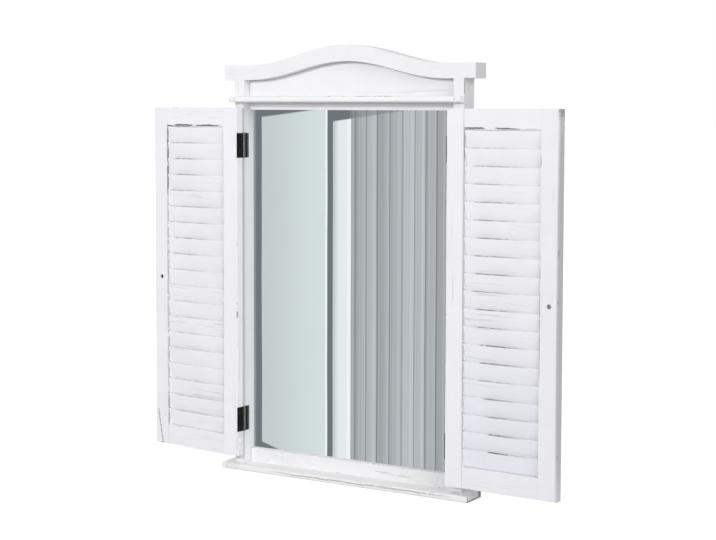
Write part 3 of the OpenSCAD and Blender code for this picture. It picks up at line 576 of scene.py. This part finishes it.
class StudioSettings(bpy.types.PropertyGroup):
    sky: share("Sky", "Strength of the light from all round", 0.386, 2.0)
    key: lamp_power("Key", "Watts of the square lamp in front", 68.0)
    side: lamp_power("Side", "Strength of the soft lamp on the right", 1.45)
    back: lamp_power("Back", "Strength of the soft lamp behind", 0.7)
    panel: tint("Panel", "Plain pale panel that the mirror reflects", (0.705, 0.755, 0.76))
    edging: tint("Edging", "Slate edging of the pale panel", (0.185, 0.203, 0.222))
    pleats: tint("Pleats", "Pleated grey screen beside the panel", (0.49, 0.505, 0.53))


# ---- pieces ----


class PiecesOperator:
    bl_options = {"REGISTER", "UNDO"}


class SHUTTERMIRROR_OT_effects(PiecesOperator, bpy.types.Operator):
    """Build the shared effects: edge wear, brush streaks and rubbed marks"""
    bl_idname = "shutter_mirror.effects"
    bl_label = "Build shared effects"

    def execute(self, context):
        make_edge_wear()
        make_brush_streaks()
        make_rubbed_mark()
        return {"FINISHED"}


class SHUTTERMIRROR_OT_frame(PiecesOperator, bpy.types.Operator):
    """Paint the frame's stiles, rails and header panel"""
    bl_idname = "shutter_mirror.frame"
    bl_label = "Paint the frame"

    def execute(self, context):
        for side in SIDES:
            paint_node(side + "_stile", "Z", wear=0.2)
        paint_node("top_rail", "X", wear=0.1, tone=(1.055, 1.045, 1.055))
        paint_node("bottom_rail", "X", wear=0.25)
        paint_node("header_panel", "X", wear=0.1, stroke=0.7, joint=arch_shadow_line)
        return {"FINISHED"}


class SHUTTERMIRROR_OT_cornice(PiecesOperator, bpy.types.Operator):
    """Paint the arched cornice, the ledge and the sill"""
    bl_idname = "shutter_mirror.cornice"
    bl_label = "Paint the mouldings"

    def execute(self, context):
        look = context.scene.shutter_mirror_paint
        paint_node("arched_cornice", "X", wear=0.1)
        paint_node("ledge_moulding", "X", wear=0.45, tone=(1.05, 1.05, 1.05))
        # The sill's upper tone is a painted top light
        paint_node("sill_board", "X", wear=0.35, width=0.0012, tone=look.cream, upper=(1.07, 1.08, 1.095))
        return {"FINISHED"}


class SHUTTERMIRROR_OT_glass(PiecesOperator, bpy.types.Operator):
    """Silver the glass and finish the backing board"""
    bl_idname = "shutter_mirror.glass"
    bl_label = "Silver the glass"

    def execute(self, context):
        look = context.scene.shutter_mirror_glass
        made, tree, bsdf, place = new_material("silvered_glass")
        haze = clouds(tree, place, 9.0, 4.0, 0.6)
        silver = blend(tree, fade(tree, haze, 0.35, 0.75), colour(look.silver), colour(look.silver, 0.985))
        feed(tree, bsdf, Base_Color=silver, Roughness=fade(tree, haze, 0.3, 0.8, 0.0, look.roughness), Metallic=1.0)
        bump(tree, bsdf, clouds(tree, place, 4.0, 1.0, 0.4), 0.0002, 0.25)
        dress("mirror_glass", made)
        made, tree, bsdf, place = new_material("pressed_board")
        fibres = clouds(tree, vectors(tree, "MULTIPLY", place, (1.0, 1.0, 0.35)), 900.0, 5.0, 0.7, 1.0)
        blots = clouds(tree, place, 22.0, 3.0, 0.6)
        shade = blend(tree, fade(tree, fibres, 0.35, 0.7), colour(look.board), colour(look.board, 1.6))
        feed(tree, bsdf, Base_Color=blend(tree, fade(tree, blots, 0.45, 0.7, 0.0, 0.3), shade, (0.12, 0.07, 0.04, 1)),
             Roughness=fade(tree, fibres, 0.2, 0.8, 0.55, 0.8))
        bump(tree, bsdf, fibres, 0.0001)
        dress("backing_board", made)
        return {"FINISHED"}


# Where a hinge's rubbed and highlighted knuckles end, out from its pin, and where its leaf's lighter back edge starts
# and ends, in metres
KNUCKLE_EDGE = (0.0017, 0.0023)
LEAF_BACK = (-0.028, -0.025)


def rub_and_highlight_knuckle(tree, place, shade, worn):
    """Lightens a hinge's knuckles and the back edge of its leaf: rubbed finish, with a painted highlight."""
    line = JOINTS["right_shutter"]["pos_m"]
    out = vectors(tree, "SUBTRACT", vectors(tree, "ABSOLUTE", place), (abs(line[0]), abs(line[1]), 0.0))
    out = vectors(tree, "LENGTH", vectors(tree, "MULTIPLY", out, (1.0, 1.0, 0.0)), out=1)
    shade = blend(tree, fade(tree, out, *KNUCKLE_EDGE, 1.0, 0.0), shade, colour(worn))
    return blend(tree, fade(tree, split(tree, place)[1], *LEAF_BACK), shade, colour(worn))


def metal(name, main, worn, rough, worn_rough, grain=1.0, patches=(0.5, 0.68), knuckle_wear_and_highlight=None):
    """Metal with rubbed patches, fine scratches and a slightly uneven face, and on a hinge, knuckles that are rubbed
    and carry a painted highlight.
    """
    made, tree, bsdf, place = new_material(name)
    fine = clouds(tree, vectors(tree, "MULTIPLY", place, (1.0, 1.0, grain)), 1400.0, 3.0, 0.6)
    patch = clouds(tree, place, 210.0, 4.0, 0.65)
    shade = blend(tree, product(tree, fine, 0.5), colour(main), colour(main, 0.7))
    shade = blend(tree, fade(tree, patch, *patches), shade, colour(worn))
    if knuckle_wear_and_highlight:
        shade = rub_and_highlight_knuckle(tree, place, shade, knuckle_wear_and_highlight)
    uneven = fade(tree, patch, *patches, rough, worn_rough)
    feed(tree, bsdf, Base_Color=shade, Roughness=sums(tree, "ADD", uneven, product(tree, fine, 0.08)),
         Metallic=1.0)
    bump(tree, bsdf, sums(tree, "ADD", fine, patch), 0.00006)
    return made


class SHUTTERMIRROR_OT_fixings(PiecesOperator, bpy.types.Operator):
    """Finish the hanger plates, screws, nails and brads"""
    bl_idname = "shutter_mirror.fixings"
    bl_label = "Finish the fixings"

    def execute(self, context):
        look = context.scene.shutter_mirror_metal
        zinc = metal("zinc_plate", look.zinc, (0.48, 0.49, 0.51), 0.3, 0.45, 0.2)
        steel = metal("dulled_nail_steel", look.nail, (0.22, 0.19, 0.17), 0.4, 0.6)
        dark = metal("blackened_steel", look.black, look.nail, 0.4, 0.5, patches=(0.62, 0.75))
        for name in ("left_hanger_plate", "right_hanger_plate", "hanger_screws", "sill_screws", "backing_brads"):
            dress(name, zinc)
        dress("left_knob_screw", dark)
        dress("ledge_nails", zinc)
        for name in ("cornice_nails", "right_knob_screw"):
            dress(name, steel)
        return {"FINISHED"}


class SHUTTERMIRROR_OT_hinges(PiecesOperator, bpy.types.Operator):
    """Finish the hinge leaves, pins and hinge screws"""
    bl_idname = "shutter_mirror.hinges"
    bl_label = "Finish the hinges"

    def execute(self, context):
        look = context.scene.shutter_mirror_metal
        # Only the left hinges get the lighter knuckles and pins: rubbed, with a painted highlight
        for side, knuckle_wear_and_highlight in (("left", look.worn_and_highlit_bronze), ("right", None)):
            leaf = metal(side + "_dark_bronze", look.bronze, look.brown, 0.42, 0.36, 0.3, (0.5, 0.7), knuckle_wear_and_highlight)
            pin = metal(side + "_rubbed_bronze", knuckle_wear_and_highlight or look.bronze, look.bronze, 0.34, 0.42, 0.3, (0.55, 0.7))
            for level in ("upper", "lower"):
                dress(f"{side}_{level}_frame_leaf", leaf)
                dress(f"{side}_{level}_shutter_leaf", leaf)
                dress(f"{side}_{level}_hinge_pin", pin)
            dress(side + "_shutter_hinge_screws", leaf)
        dress("frame_hinge_screws", leaf)
        return {"FINISHED"}


class SHUTTERMIRROR_OT_shutters(PiecesOperator, bpy.types.Operator):
    """Paint the shutters' stiles, rails and knobs"""
    bl_idname = "shutter_mirror.shutters"
    bl_label = "Paint the shutters"

    def execute(self, context):
        look = context.scene.shutter_mirror_paint
        for side in SIDES:
            for name, grain, wear in (("hinge_stile", "Z", 0.2), ("meeting_stile", "Z", 0.2),
                                      ("shutter_top_rail", "X", 0.3), ("shutter_bottom_rail", "X", 0.3)):
                board = f"{side}_{name}"
                paint_node(board, grain, wear=wear, stroke=0.9, tone=Vector(look.lilac[:]) * PALER.get(board, 1.0))
            paint_node(side + "_knob", "Z", wear=0.2, tone=look.lilac)
        return {"FINISHED"}


# A slat's mesh: steps along it, and steps round each rounded corner
SLAT_STEPS = 28
CORNER_STEPS = 4


def slat_section(width, thickness, radius):
    """Outline of a slat's cross section, round its middle: (across the face, through the thickness)."""
    outline = []
    for cx, cy, start in ((1, 1, 0), (-1, 1, 90), (-1, -1, 180), (1, -1, 270)):
        for step in range(CORNER_STEPS + 1):
            a = math.radians(start + 90 / CORNER_STEPS * step)
            outline.append((cx * (width / 2 - radius) + radius * math.cos(a),
                            cy * (thickness / 2 - radius) + radius * math.sin(a)))
    return outline


def wandered(across, through, x, index, sign, width, reach):
    """A point of a slat's section, moved by noise up to the reach and kept in the slat's width."""
    over = noise.noise(Vector((x * 22, index * 3.7 + sign, across * 40))) * 0.8
    into = noise.noise(Vector((x * 14 + 9, index * 5.1 - sign, across * 12)))
    if abs(across) > width * 0.4:
        across = max(-width / 2, min(width / 2, across + over * reach))
    return across, through + into * reach


def slat_mesh(side, look):
    """All slats of a shutter, in the space of its CAD slats. slat_place holds each point's share along its slat and
    across it, and the slat's number, plus a half on the back."""
    sign, (hinge, turn) = SIDES[side], shutter_place(side)
    turned = Matrix.Rotation(turn, 4, "Z")
    points, _ = flat_points(side + "_slats")
    low, high = points.min(0), points.max(0)
    lean_cos, lean_sin = math.cos(look.lean), math.sin(look.lean)
    width = (high[1] - low[1] - look.thickness * lean_cos) / lean_sin
    rise = width * lean_cos + look.thickness * lean_sin
    pitch = (high[2] - low[2] - rise) / (look.count - 1)
    section = slat_section(width, look.thickness, look.rounding)
    work = bmesh.new()
    slat_place = work.verts.layers.float_vector.new("slat_place")
    for i in range(look.count):
        middle = Vector((0, (low[1] + high[1]) / 2, low[2] + rise / 2 + i * pitch))
        rings = []
        for step in range(SLAT_STEPS + 1):
            along = step / SLAT_STEPS
            x = low[0] + (high[0] - low[0]) * along
            free = max(0.0, math.sin(math.pi * min(1.0, max(0.0, (along - 0.05) / 0.9))))
            ring = []
            for across, through in section:
                a, t = wandered(across, through, x, i, sign, width, look.unevenness * free)
                spot = middle + Vector((x, t * lean_cos - a * lean_sin, a * lean_cos + t * lean_sin))
                vert = work.verts.new(turned @ (spot - hinge) + hinge)
                vert[slat_place] = (along, across / width + 0.5, i + (0.0 if through < 0 else 0.5))
                ring.append(vert)
            rings.append(ring)
        for a, b in zip(rings, rings[1:]):
            for k in range(len(a)):
                work.faces.new((a[k], a[k - 1], b[k - 1], b[k]))
        work.faces.new(rings[0])
        work.faces.new(rings[-1][::-1])
    bmesh.ops.recalc_face_normals(work, faces=work.faces)
    mesh = bpy.data.meshes.new(side + "_slats_painted")
    work.to_mesh(mesh)
    work.free()
    mesh.shade_smooth()
    return mesh


class SHUTTERMIRROR_OT_slats(PiecesOperator, bpy.types.Operator):
    """Make the slats, with rounded, slightly uneven edges"""
    bl_idname = "shutter_mirror.slats"
    bl_label = "Make the slats"

    def execute(self, context):
        for side in SIDES:
            mesh = slat_mesh(side, context.scene.shutter_mirror_slats)
            mesh.materials.append(slat_paint(side))
            piece = bpy.data.objects.new(side + "_slats_painted", mesh)
            context.scene.collection.objects.link(piece)
            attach(piece, side + "_shutter")
            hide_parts(side + "_slats")
        return {"FINISHED"}


def slat_paint(side):
    """Paint on the slats: a thin dark line along the top edge, rubbed wear with a painted shadow of the crevice under
    the slat above, and brush strokes along the slat.
    """
    look = bpy.context.scene.shutter_mirror_paint
    slats = bpy.context.scene.shutter_mirror_slats
    made, tree, bsdf, place = new_material(side + "_slat_paint")
    place = board_place(tree, place, side)
    ripple, thin, mottle = use(tree, "brush streaks", ("Ripple", "Stroke", "Mottle"), Place=place, Along=GRAIN["X"],
                               Seed=3.0 if side == "left" else 6.0)
    along, across, index = split(tree, node(tree, "Attribute", 1, attribute_name="slat_place"))
    index = sums(tree, "FLOOR", index)
    level = sums(tree, "DIVIDE", index, slats.count - 1.0)
    one, two = (node(tree, "TexWhiteNoise", 0, {"W": sums(tree, "ADD", index, shift)}, noise_dimensions="1D")
                for shift in ((0.5, 40.5) if side == "left" else (80.5, 120.5)))
    # Where the dark line starts and stops along its slat, and its strength. The line is rubbed wear with a painted
    # crevice shadow.
    if side == "left":
        start = sums(tree, "MULTIPLY_ADD", one, 0.10, 0.02)
        stop = sums(tree, "MULTIPLY_ADD", two, 0.40, 0.66)
        peak = sums(tree, "MULTIPLY_ADD", one, 0.30, fade(tree, level, 0.3, 0.9, 0.05, 0.52))
    else:
        start = sums(tree, "MULTIPLY_ADD", one, 0.08, fade(tree, level, 0.0, 0.5, 0.27, 0.08))
        stop = sums(tree, "MULTIPLY_ADD", two, 0.14, fade(tree, level, 0.0, 0.5, 0.86, 0.78))
        peak = sums(tree, "MULTIPLY_ADD", level, -0.2, sums(tree, "MULTIPLY_ADD", one, 0.4, 0.55))
    drawn = product(tree, fade(tree, along, start, sums(tree, "ADD", start, 0.06)),
                    fade(tree, along, sums(tree, "SUBTRACT", stop, 0.48), stop, 1.0, 0.0))
    uneven = clouds(tree, vectors(tree, "MULTIPLY", place, (1.0, 0.2, 1.0)), 90.0, 2.0, 0.5)
    drawn = product(tree, drawn, fade(tree, uneven, 0.3, 0.55, 0.35, 1.0))
    # A faint painted crevice shadow runs all along the top edge; the rub is drawn over it
    line = product(tree, fade(tree, across, 0.95, 0.985), sums(tree, "MULTIPLY_ADD", drawn, peak, 0.1))
    coat = mottled(tree, mottle, colour(slats.paint), colour(slats.paint, 0.97))
    # Painted shade: the right shutter's slats get darker towards the bottom
    if side == "right":
        coat = blend(tree, fade(tree, level, 0.1, 0.5, 1.0, 0.0), coat, (0.95, 0.95, 0.97, 1), "MULTIPLY")
    coat = blend(tree, product(tree, thin, 1.2 * look.streaks), coat, colour(look.stroke))
    finish_paint(tree, bsdf, blend(tree, line, coat, colour(slats.line)), ripple, mottle)
    return made


# ---- studio ----

# The photograph's camera: yaw, pitch and roll in degrees, its place in metres, and its picture and lens in pixels
CAMERA_TURN = (30.91, 3.757, 0.146)
CAMERA_PLACE = (1.319965, -2.195647, 0.611349)
PICTURE_WIDTH, PICTURE_HEIGHT = 716, 540
FOCAL_LENGTH = 1576.84
LENS_ROW = 210

WHITE = (1, 1, 1, 1)
FLOOR_RADIUS, FLOOR_SIDES, FLOOR_GAP = 40, 48, 0.0004
KEY_PLACE, KEY_AIM, KEY_SIZE = Vector((-0.8, -4.1, 1.75)), Vector((0, 0, 0.35)), 0.4

# The staged screen is half a round wall in front of the part. Places along it are turns round the part in degrees, and
# sloping lines on it are (turn, height there, rise a degree)
SCREEN_RADIUS, SCREEN_STEPS = 3.2, 180
SCREEN_HEIGHTS = (-9.0, 5.0)
OUTER_EDGING, EDGING_FADE = (-128.3, -127.02), (-127.56, -127.3)
PANEL_FADE, PANEL_END = (-127.0, -122.8), -122.86
POST_START, POST_END = -122.72, -122.36
PALE_STRIP, STRIP_SHADES = (-122.36, -121.9), ((0.63, 0.65, 0.655, 1), (0.90, 0.925, 0.93, 1))
STRIP_EDGING_START, STRIP_EDGING_END = (-122.7, -122.6), (-121.3, -120.9)
PLEATS_START, PLEATS_FADE = -121.2, (-113.5, -105.0)
PANEL_TOP = (-127.06, 0.5696, 0.0077)
PANEL_FOOT = (-126.96, -0.622, -0.028)
STRIP_TOP = (-122.35, 0.554, 0.0085)
EDGING_WIDTH, EDGING_SOFT = 0.06, 0.006


def white_for_lens(tree):
    """1 for rays from the camera, a mirror or glass, and 0 for the light that falls on the object."""
    rays = tree.nodes.new("ShaderNodeLightPath").outputs
    mirrored = sums(tree, "MAXIMUM", rays["Is Glossy Ray"], rays["Is Transmission Ray"])
    return sums(tree, "MAXIMUM", rays["Is Camera Ray"], mirrored)


def off_line(tree, turn, z, line):
    """Height over a sloping line on the screen."""
    start, height, rise = line
    return sums(tree, "SUBTRACT", z, sums(tree, "MULTIPLY_ADD", turn, rise, height - start * rise))


def pleated(tree, turn, shade):
    """Narrow folds of uneven width and tone. They fade out past what the photograph's view shows."""
    line = node(tree, "CombineXYZ", feeds={0: turn})
    slow, fine = clouds(tree, line, 0.6, 2.0, 0.5), clouds(tree, line, 7.0, 2.0, 0.6)
    count = sums(tree, "MULTIPLY_ADD", slow, 2.2, product(tree, turn, 1.24))
    fold = sums(tree, "FRACT", count)
    tone = node(tree, "TexWhiteNoise", 0, {"W": sums(tree, "FLOOR", count)}, noise_dimensions="1D")
    level = sums(tree, "MULTIPLY_ADD", fold, 0.26, sums(tree, "MULTIPLY_ADD", fine, 0.9, 0.02))
    level = sums(tree, "MULTIPLY_ADD", slow, 0.4, sums(tree, "MULTIPLY_ADD", tone, 0.36, level))
    crease = product(tree, fade(tree, fold, 0.0, 0.16, 0.62, 1.0), fade(tree, fold, 0.9, 1.0, 1.0, 0.85))
    return blend(tree, fade(tree, turn, *PLEATS_FADE), scaled(tree, shade, product(tree, level, crease)),
                 colour(shade, 1.08))


def panel_shade(tree, turn, look):
    """From left to right: the pale panel, a bright line, a pale strip, a bright line and the pleats."""
    panel = scaled(tree, look.panel, fade(tree, turn, *PANEL_FADE, 0.9, 1.08))
    strip = blend(tree, fade(tree, turn, *PALE_STRIP), *STRIP_SHADES)
    shade = blend(tree, between(tree, turn, PANEL_END, POST_START, 0.03), panel, WHITE)
    shade = blend(tree, fade(tree, turn, POST_END - 0.01, POST_END + 0.03), shade, strip)
    shade = blend(tree, fade(tree, turn, PLEATS_START - 0.25, PLEATS_START - 0.18), shade, WHITE)
    return blend(tree, fade(tree, turn, PLEATS_START, PLEATS_START + 0.06), shade, pleated(tree, turn, look.pleats))


def edging_mask(tree, turn, z):
    """The slate edging round the pale panel, the post beside it and the edging over the pale strip."""
    above = between(tree, off_line(tree, turn, z, PANEL_TOP), 0.0, EDGING_WIDTH, EDGING_SOFT)
    under = product(tree, off_line(tree, turn, z, PANEL_FOOT), -1.0)
    below = between(tree, under, -EDGING_SOFT, EDGING_WIDTH, EDGING_SOFT)
    beside = between(tree, turn, OUTER_EDGING[0], PANEL_END, 0.04)
    over = between(tree, off_line(tree, turn, z, STRIP_TOP), 0.0, EDGING_WIDTH, EDGING_SOFT)
    reach = product(tree, fade(tree, turn, *STRIP_EDGING_START), fade(tree, turn, *STRIP_EDGING_END, 1.0, 0.5))
    mask = between(tree, turn, *OUTER_EDGING, 0.06)
    for part in (product(tree, sums(tree, "MAXIMUM", above, below), beside),
                 between(tree, turn, POST_START, POST_END, 0.03), product(tree, over, reach)):
        mask = sums(tree, "MAXIMUM", mask, part)
    return mask


class SHUTTERMIRROR_OT_studio(PiecesOperator, bpy.types.Operator):
    """Set the floor, the soft lamps, the screens that the mirror reflects and the camera"""
    bl_idname = "shutter_mirror.studio"
    bl_label = "Set the studio"

    def execute(self, context):
        scene = context.scene
        look = scene.shutter_mirror_studio
        scene.view_settings.view_transform = "Standard"
        scene.world = bpy.data.worlds.new("studio_sky")
        scene.world.use_nodes = True
        tree = scene.world.node_tree
        strength = sums(tree, "MULTIPLY_ADD", white_for_lens(tree), 1 - look.sky, look.sky)
        feed(tree, tree.nodes["Background"], Color=WHITE, Strength=strength)
        self.floor(scene)
        self.key_lamp(scene, look.key)
        self.soft_lamp(scene, "side_lamp", look.side, (0.85, -0.45, 0.30), 40, (0.98, 0.99, 1.0))
        self.soft_lamp(scene, "back_lamp", look.back, (-0.15, 0.95, 0.35), 60, (1.0, 1.0, 1.0))
        self.screens(scene, look)
        self.camera(scene)
        return {"FINISHED"}

    def floor(self, scene):
        """A pale floor just under the part. From below it is clear, so that it doesn't hide the part."""
        mesh = bpy.data.meshes.new("floor")
        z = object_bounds()[0].z - FLOOR_GAP
        mesh.from_pydata([(FLOOR_RADIUS * math.cos(a), FLOOR_RADIUS * math.sin(a), z)
                          for a in (2 * math.pi * k / FLOOR_SIDES for k in range(FLOOR_SIDES))],
                         [], [list(range(FLOOR_SIDES))])
        floor = bpy.data.objects.new("floor", mesh)
        scene.collection.objects.link(floor)
        made, tree, bsdf, _ = new_material("pale_floor")
        seen = white_for_lens(tree)
        feed(tree, bsdf, Base_Color=blend(tree, seen, (0.72, 0.72, 0.73, 1), WHITE), Emission_Color=WHITE,
             Emission_Strength=product(tree, seen, 0.5), Roughness=1.0, Specular_IOR_Level=0.0)
        clear = tree.nodes.new("ShaderNodeBsdfTransparent").outputs[0]
        back = tree.nodes.new("ShaderNodeNewGeometry").outputs["Backfacing"]
        tree.links.new(node(tree, "MixShader", feeds={0: back, 1: bsdf.outputs[0], 2: clear}),
                       tree.nodes["Material Output"].inputs["Surface"])
        mesh.materials.append(made)
        floor.visible_glossy = False
        floor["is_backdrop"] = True

    def key_lamp(self, scene, power):
        """A small square lamp in front, a little above the cornice and to the left."""
        lamp = bpy.data.lights.new("key_lamp", "AREA")
        lamp.energy, lamp.size, lamp.color = power, KEY_SIZE, (1.0, 0.995, 0.985)
        holder = bpy.data.objects.new("key_lamp", lamp)
        holder.location = KEY_PLACE
        holder.rotation_euler = (KEY_PLACE - KEY_AIM).to_track_quat("Z", "Y").to_euler()
        holder.visible_camera = False
        scene.collection.objects.link(holder)

    def soft_lamp(self, scene, name, strength, towards, angle, shade):
        """Even light from one side. Reflections don't show it."""
        lamp = bpy.data.lights.new(name, "SUN")
        lamp.energy, lamp.angle, lamp.color = strength, math.radians(angle), shade
        holder = bpy.data.objects.new(name, lamp)
        holder.rotation_euler = Vector(towards).to_track_quat("Z", "Y").to_euler()
        holder.visible_glossy = False
        scene.collection.objects.link(holder)

    def screens(self, scene, look):
        """A round wall of plain panels and a pleated screen in front of the mirror. Only the mirror shows it."""
        mesh = bpy.data.meshes.new("studio_screen")
        angles = [math.radians(180 + 180 * k / SCREEN_STEPS) for k in range(SCREEN_STEPS + 1)]
        points = [(SCREEN_RADIUS * math.cos(a), SCREEN_RADIUS * math.sin(a), z) for z in SCREEN_HEIGHTS for a in angles]
        faces = [(k, k + 1, k + SCREEN_STEPS + 2, k + SCREEN_STEPS + 1) for k in range(SCREEN_STEPS)]
        mesh.from_pydata(points, [], faces)
        screen = bpy.data.objects.new("studio_screen", mesh)
        scene.collection.objects.link(screen)
        made, tree, bsdf, place = new_material("plain_panels")
        tree.nodes.remove(bsdf)
        x, y, z = split(tree, place)
        turn = product(tree, sums(tree, "ARCTAN2", y, x), 180 / math.pi)
        slate = blend(tree, fade(tree, turn, *EDGING_FADE), colour(look.edging, 2.2), colour(look.edging))
        shade = blend(tree, edging_mask(tree, turn, z), panel_shade(tree, turn, look), slate)
        tree.links.new(node(tree, "Emission", feeds={"Color": shade}), tree.nodes["Material Output"].inputs["Surface"])
        mesh.materials.append(made)
        for part in ("camera", "diffuse", "transmission", "volume_scatter", "shadow"):
            setattr(screen, "visible_" + part, False)
        for piece in bpy.data.objects:
            if piece.name.startswith("left_") or piece.name in ("bottom_rail", "frame_hinge_screws"):
                piece.visible_glossy = False
        screen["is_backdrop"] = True

    def camera(self, scene):
        """The photograph's place, direction, lens and shift."""
        yaw, pitch, roll = (math.radians(a) for a in CAMERA_TURN)
        ahead = Vector((-math.sin(yaw) * math.cos(pitch), math.cos(yaw) * math.cos(pitch), -math.sin(pitch)))
        right = Vector((math.cos(yaw), math.sin(yaw), 0))
        up = right.cross(ahead)
        right, up = (right * math.cos(roll) + up * math.sin(roll), up * math.cos(roll) - right * math.sin(roll))
        lens = bpy.data.cameras.new("camera")
        lens.sensor_width = 36.0
        lens.lens = FOCAL_LENGTH / PICTURE_WIDTH * lens.sensor_width
        lens.shift_y = (LENS_ROW - PICTURE_HEIGHT / 2) / PICTURE_WIDTH
        lens.clip_start, lens.clip_end = 0.05, 100.0
        holder = bpy.data.objects.new("camera", lens)
        facing = Matrix((right, up, -ahead)).transposed().to_4x4()
        holder.matrix_world = Matrix.Translation(CAMERA_PLACE) @ facing
        scene.collection.objects.link(holder)
        scene.camera = holder


class SHUTTERMIRROR_PT_panel(bpy.types.Panel):
    """Every piece's operator and the settings"""
    bl_idname = "SHUTTERMIRROR_PT_panel"
    bl_label = "Shutter mirror"
    bl_space_type = "VIEW_3D"
    bl_region_type = "UI"
    bl_category = "Shutter mirror"

    def draw(self, context):
        for step in STEPS:
            self.layout.operator(step.bl_idname)
        for name, kind in SETTINGS:
            box = self.layout.box()
            box.label(text=name.capitalize())
            group = getattr(context.scene, "shutter_mirror_" + name)
            for setting in kind.__annotations__:
                box.prop(group, setting)


SETTINGS = [("paint", PaintSettings), ("slats", SlatSettings), ("metal", MetalSettings), ("glass", GlassSettings),
            ("studio", StudioSettings)]
STEPS = [SHUTTERMIRROR_OT_effects, SHUTTERMIRROR_OT_frame, SHUTTERMIRROR_OT_cornice, SHUTTERMIRROR_OT_glass,
         SHUTTERMIRROR_OT_fixings, SHUTTERMIRROR_OT_hinges, SHUTTERMIRROR_OT_shutters, SHUTTERMIRROR_OT_slats,
         SHUTTERMIRROR_OT_studio]
CLASSES = [kind for _, kind in SETTINGS] + STEPS + [SHUTTERMIRROR_PT_panel]


def register():
    for kind in CLASSES:
        bpy.utils.register_class(kind)
    for name, kind in SETTINGS:
        setattr(bpy.types.Scene, "shutter_mirror_" + name, bpy.props.PointerProperty(type=kind))


def unregister():
    for name, _ in SETTINGS:
        delattr(bpy.types.Scene, "shutter_mirror_" + name)
    for kind in reversed(CLASSES):
        bpy.utils.unregister_class(kind)


def main():
    register()
    for step in STEPS:
        group, name = step.bl_idname.split(".")
        getattr(getattr(bpy.ops, group), name)()
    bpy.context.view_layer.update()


if __name__ == "__main__":
    main()
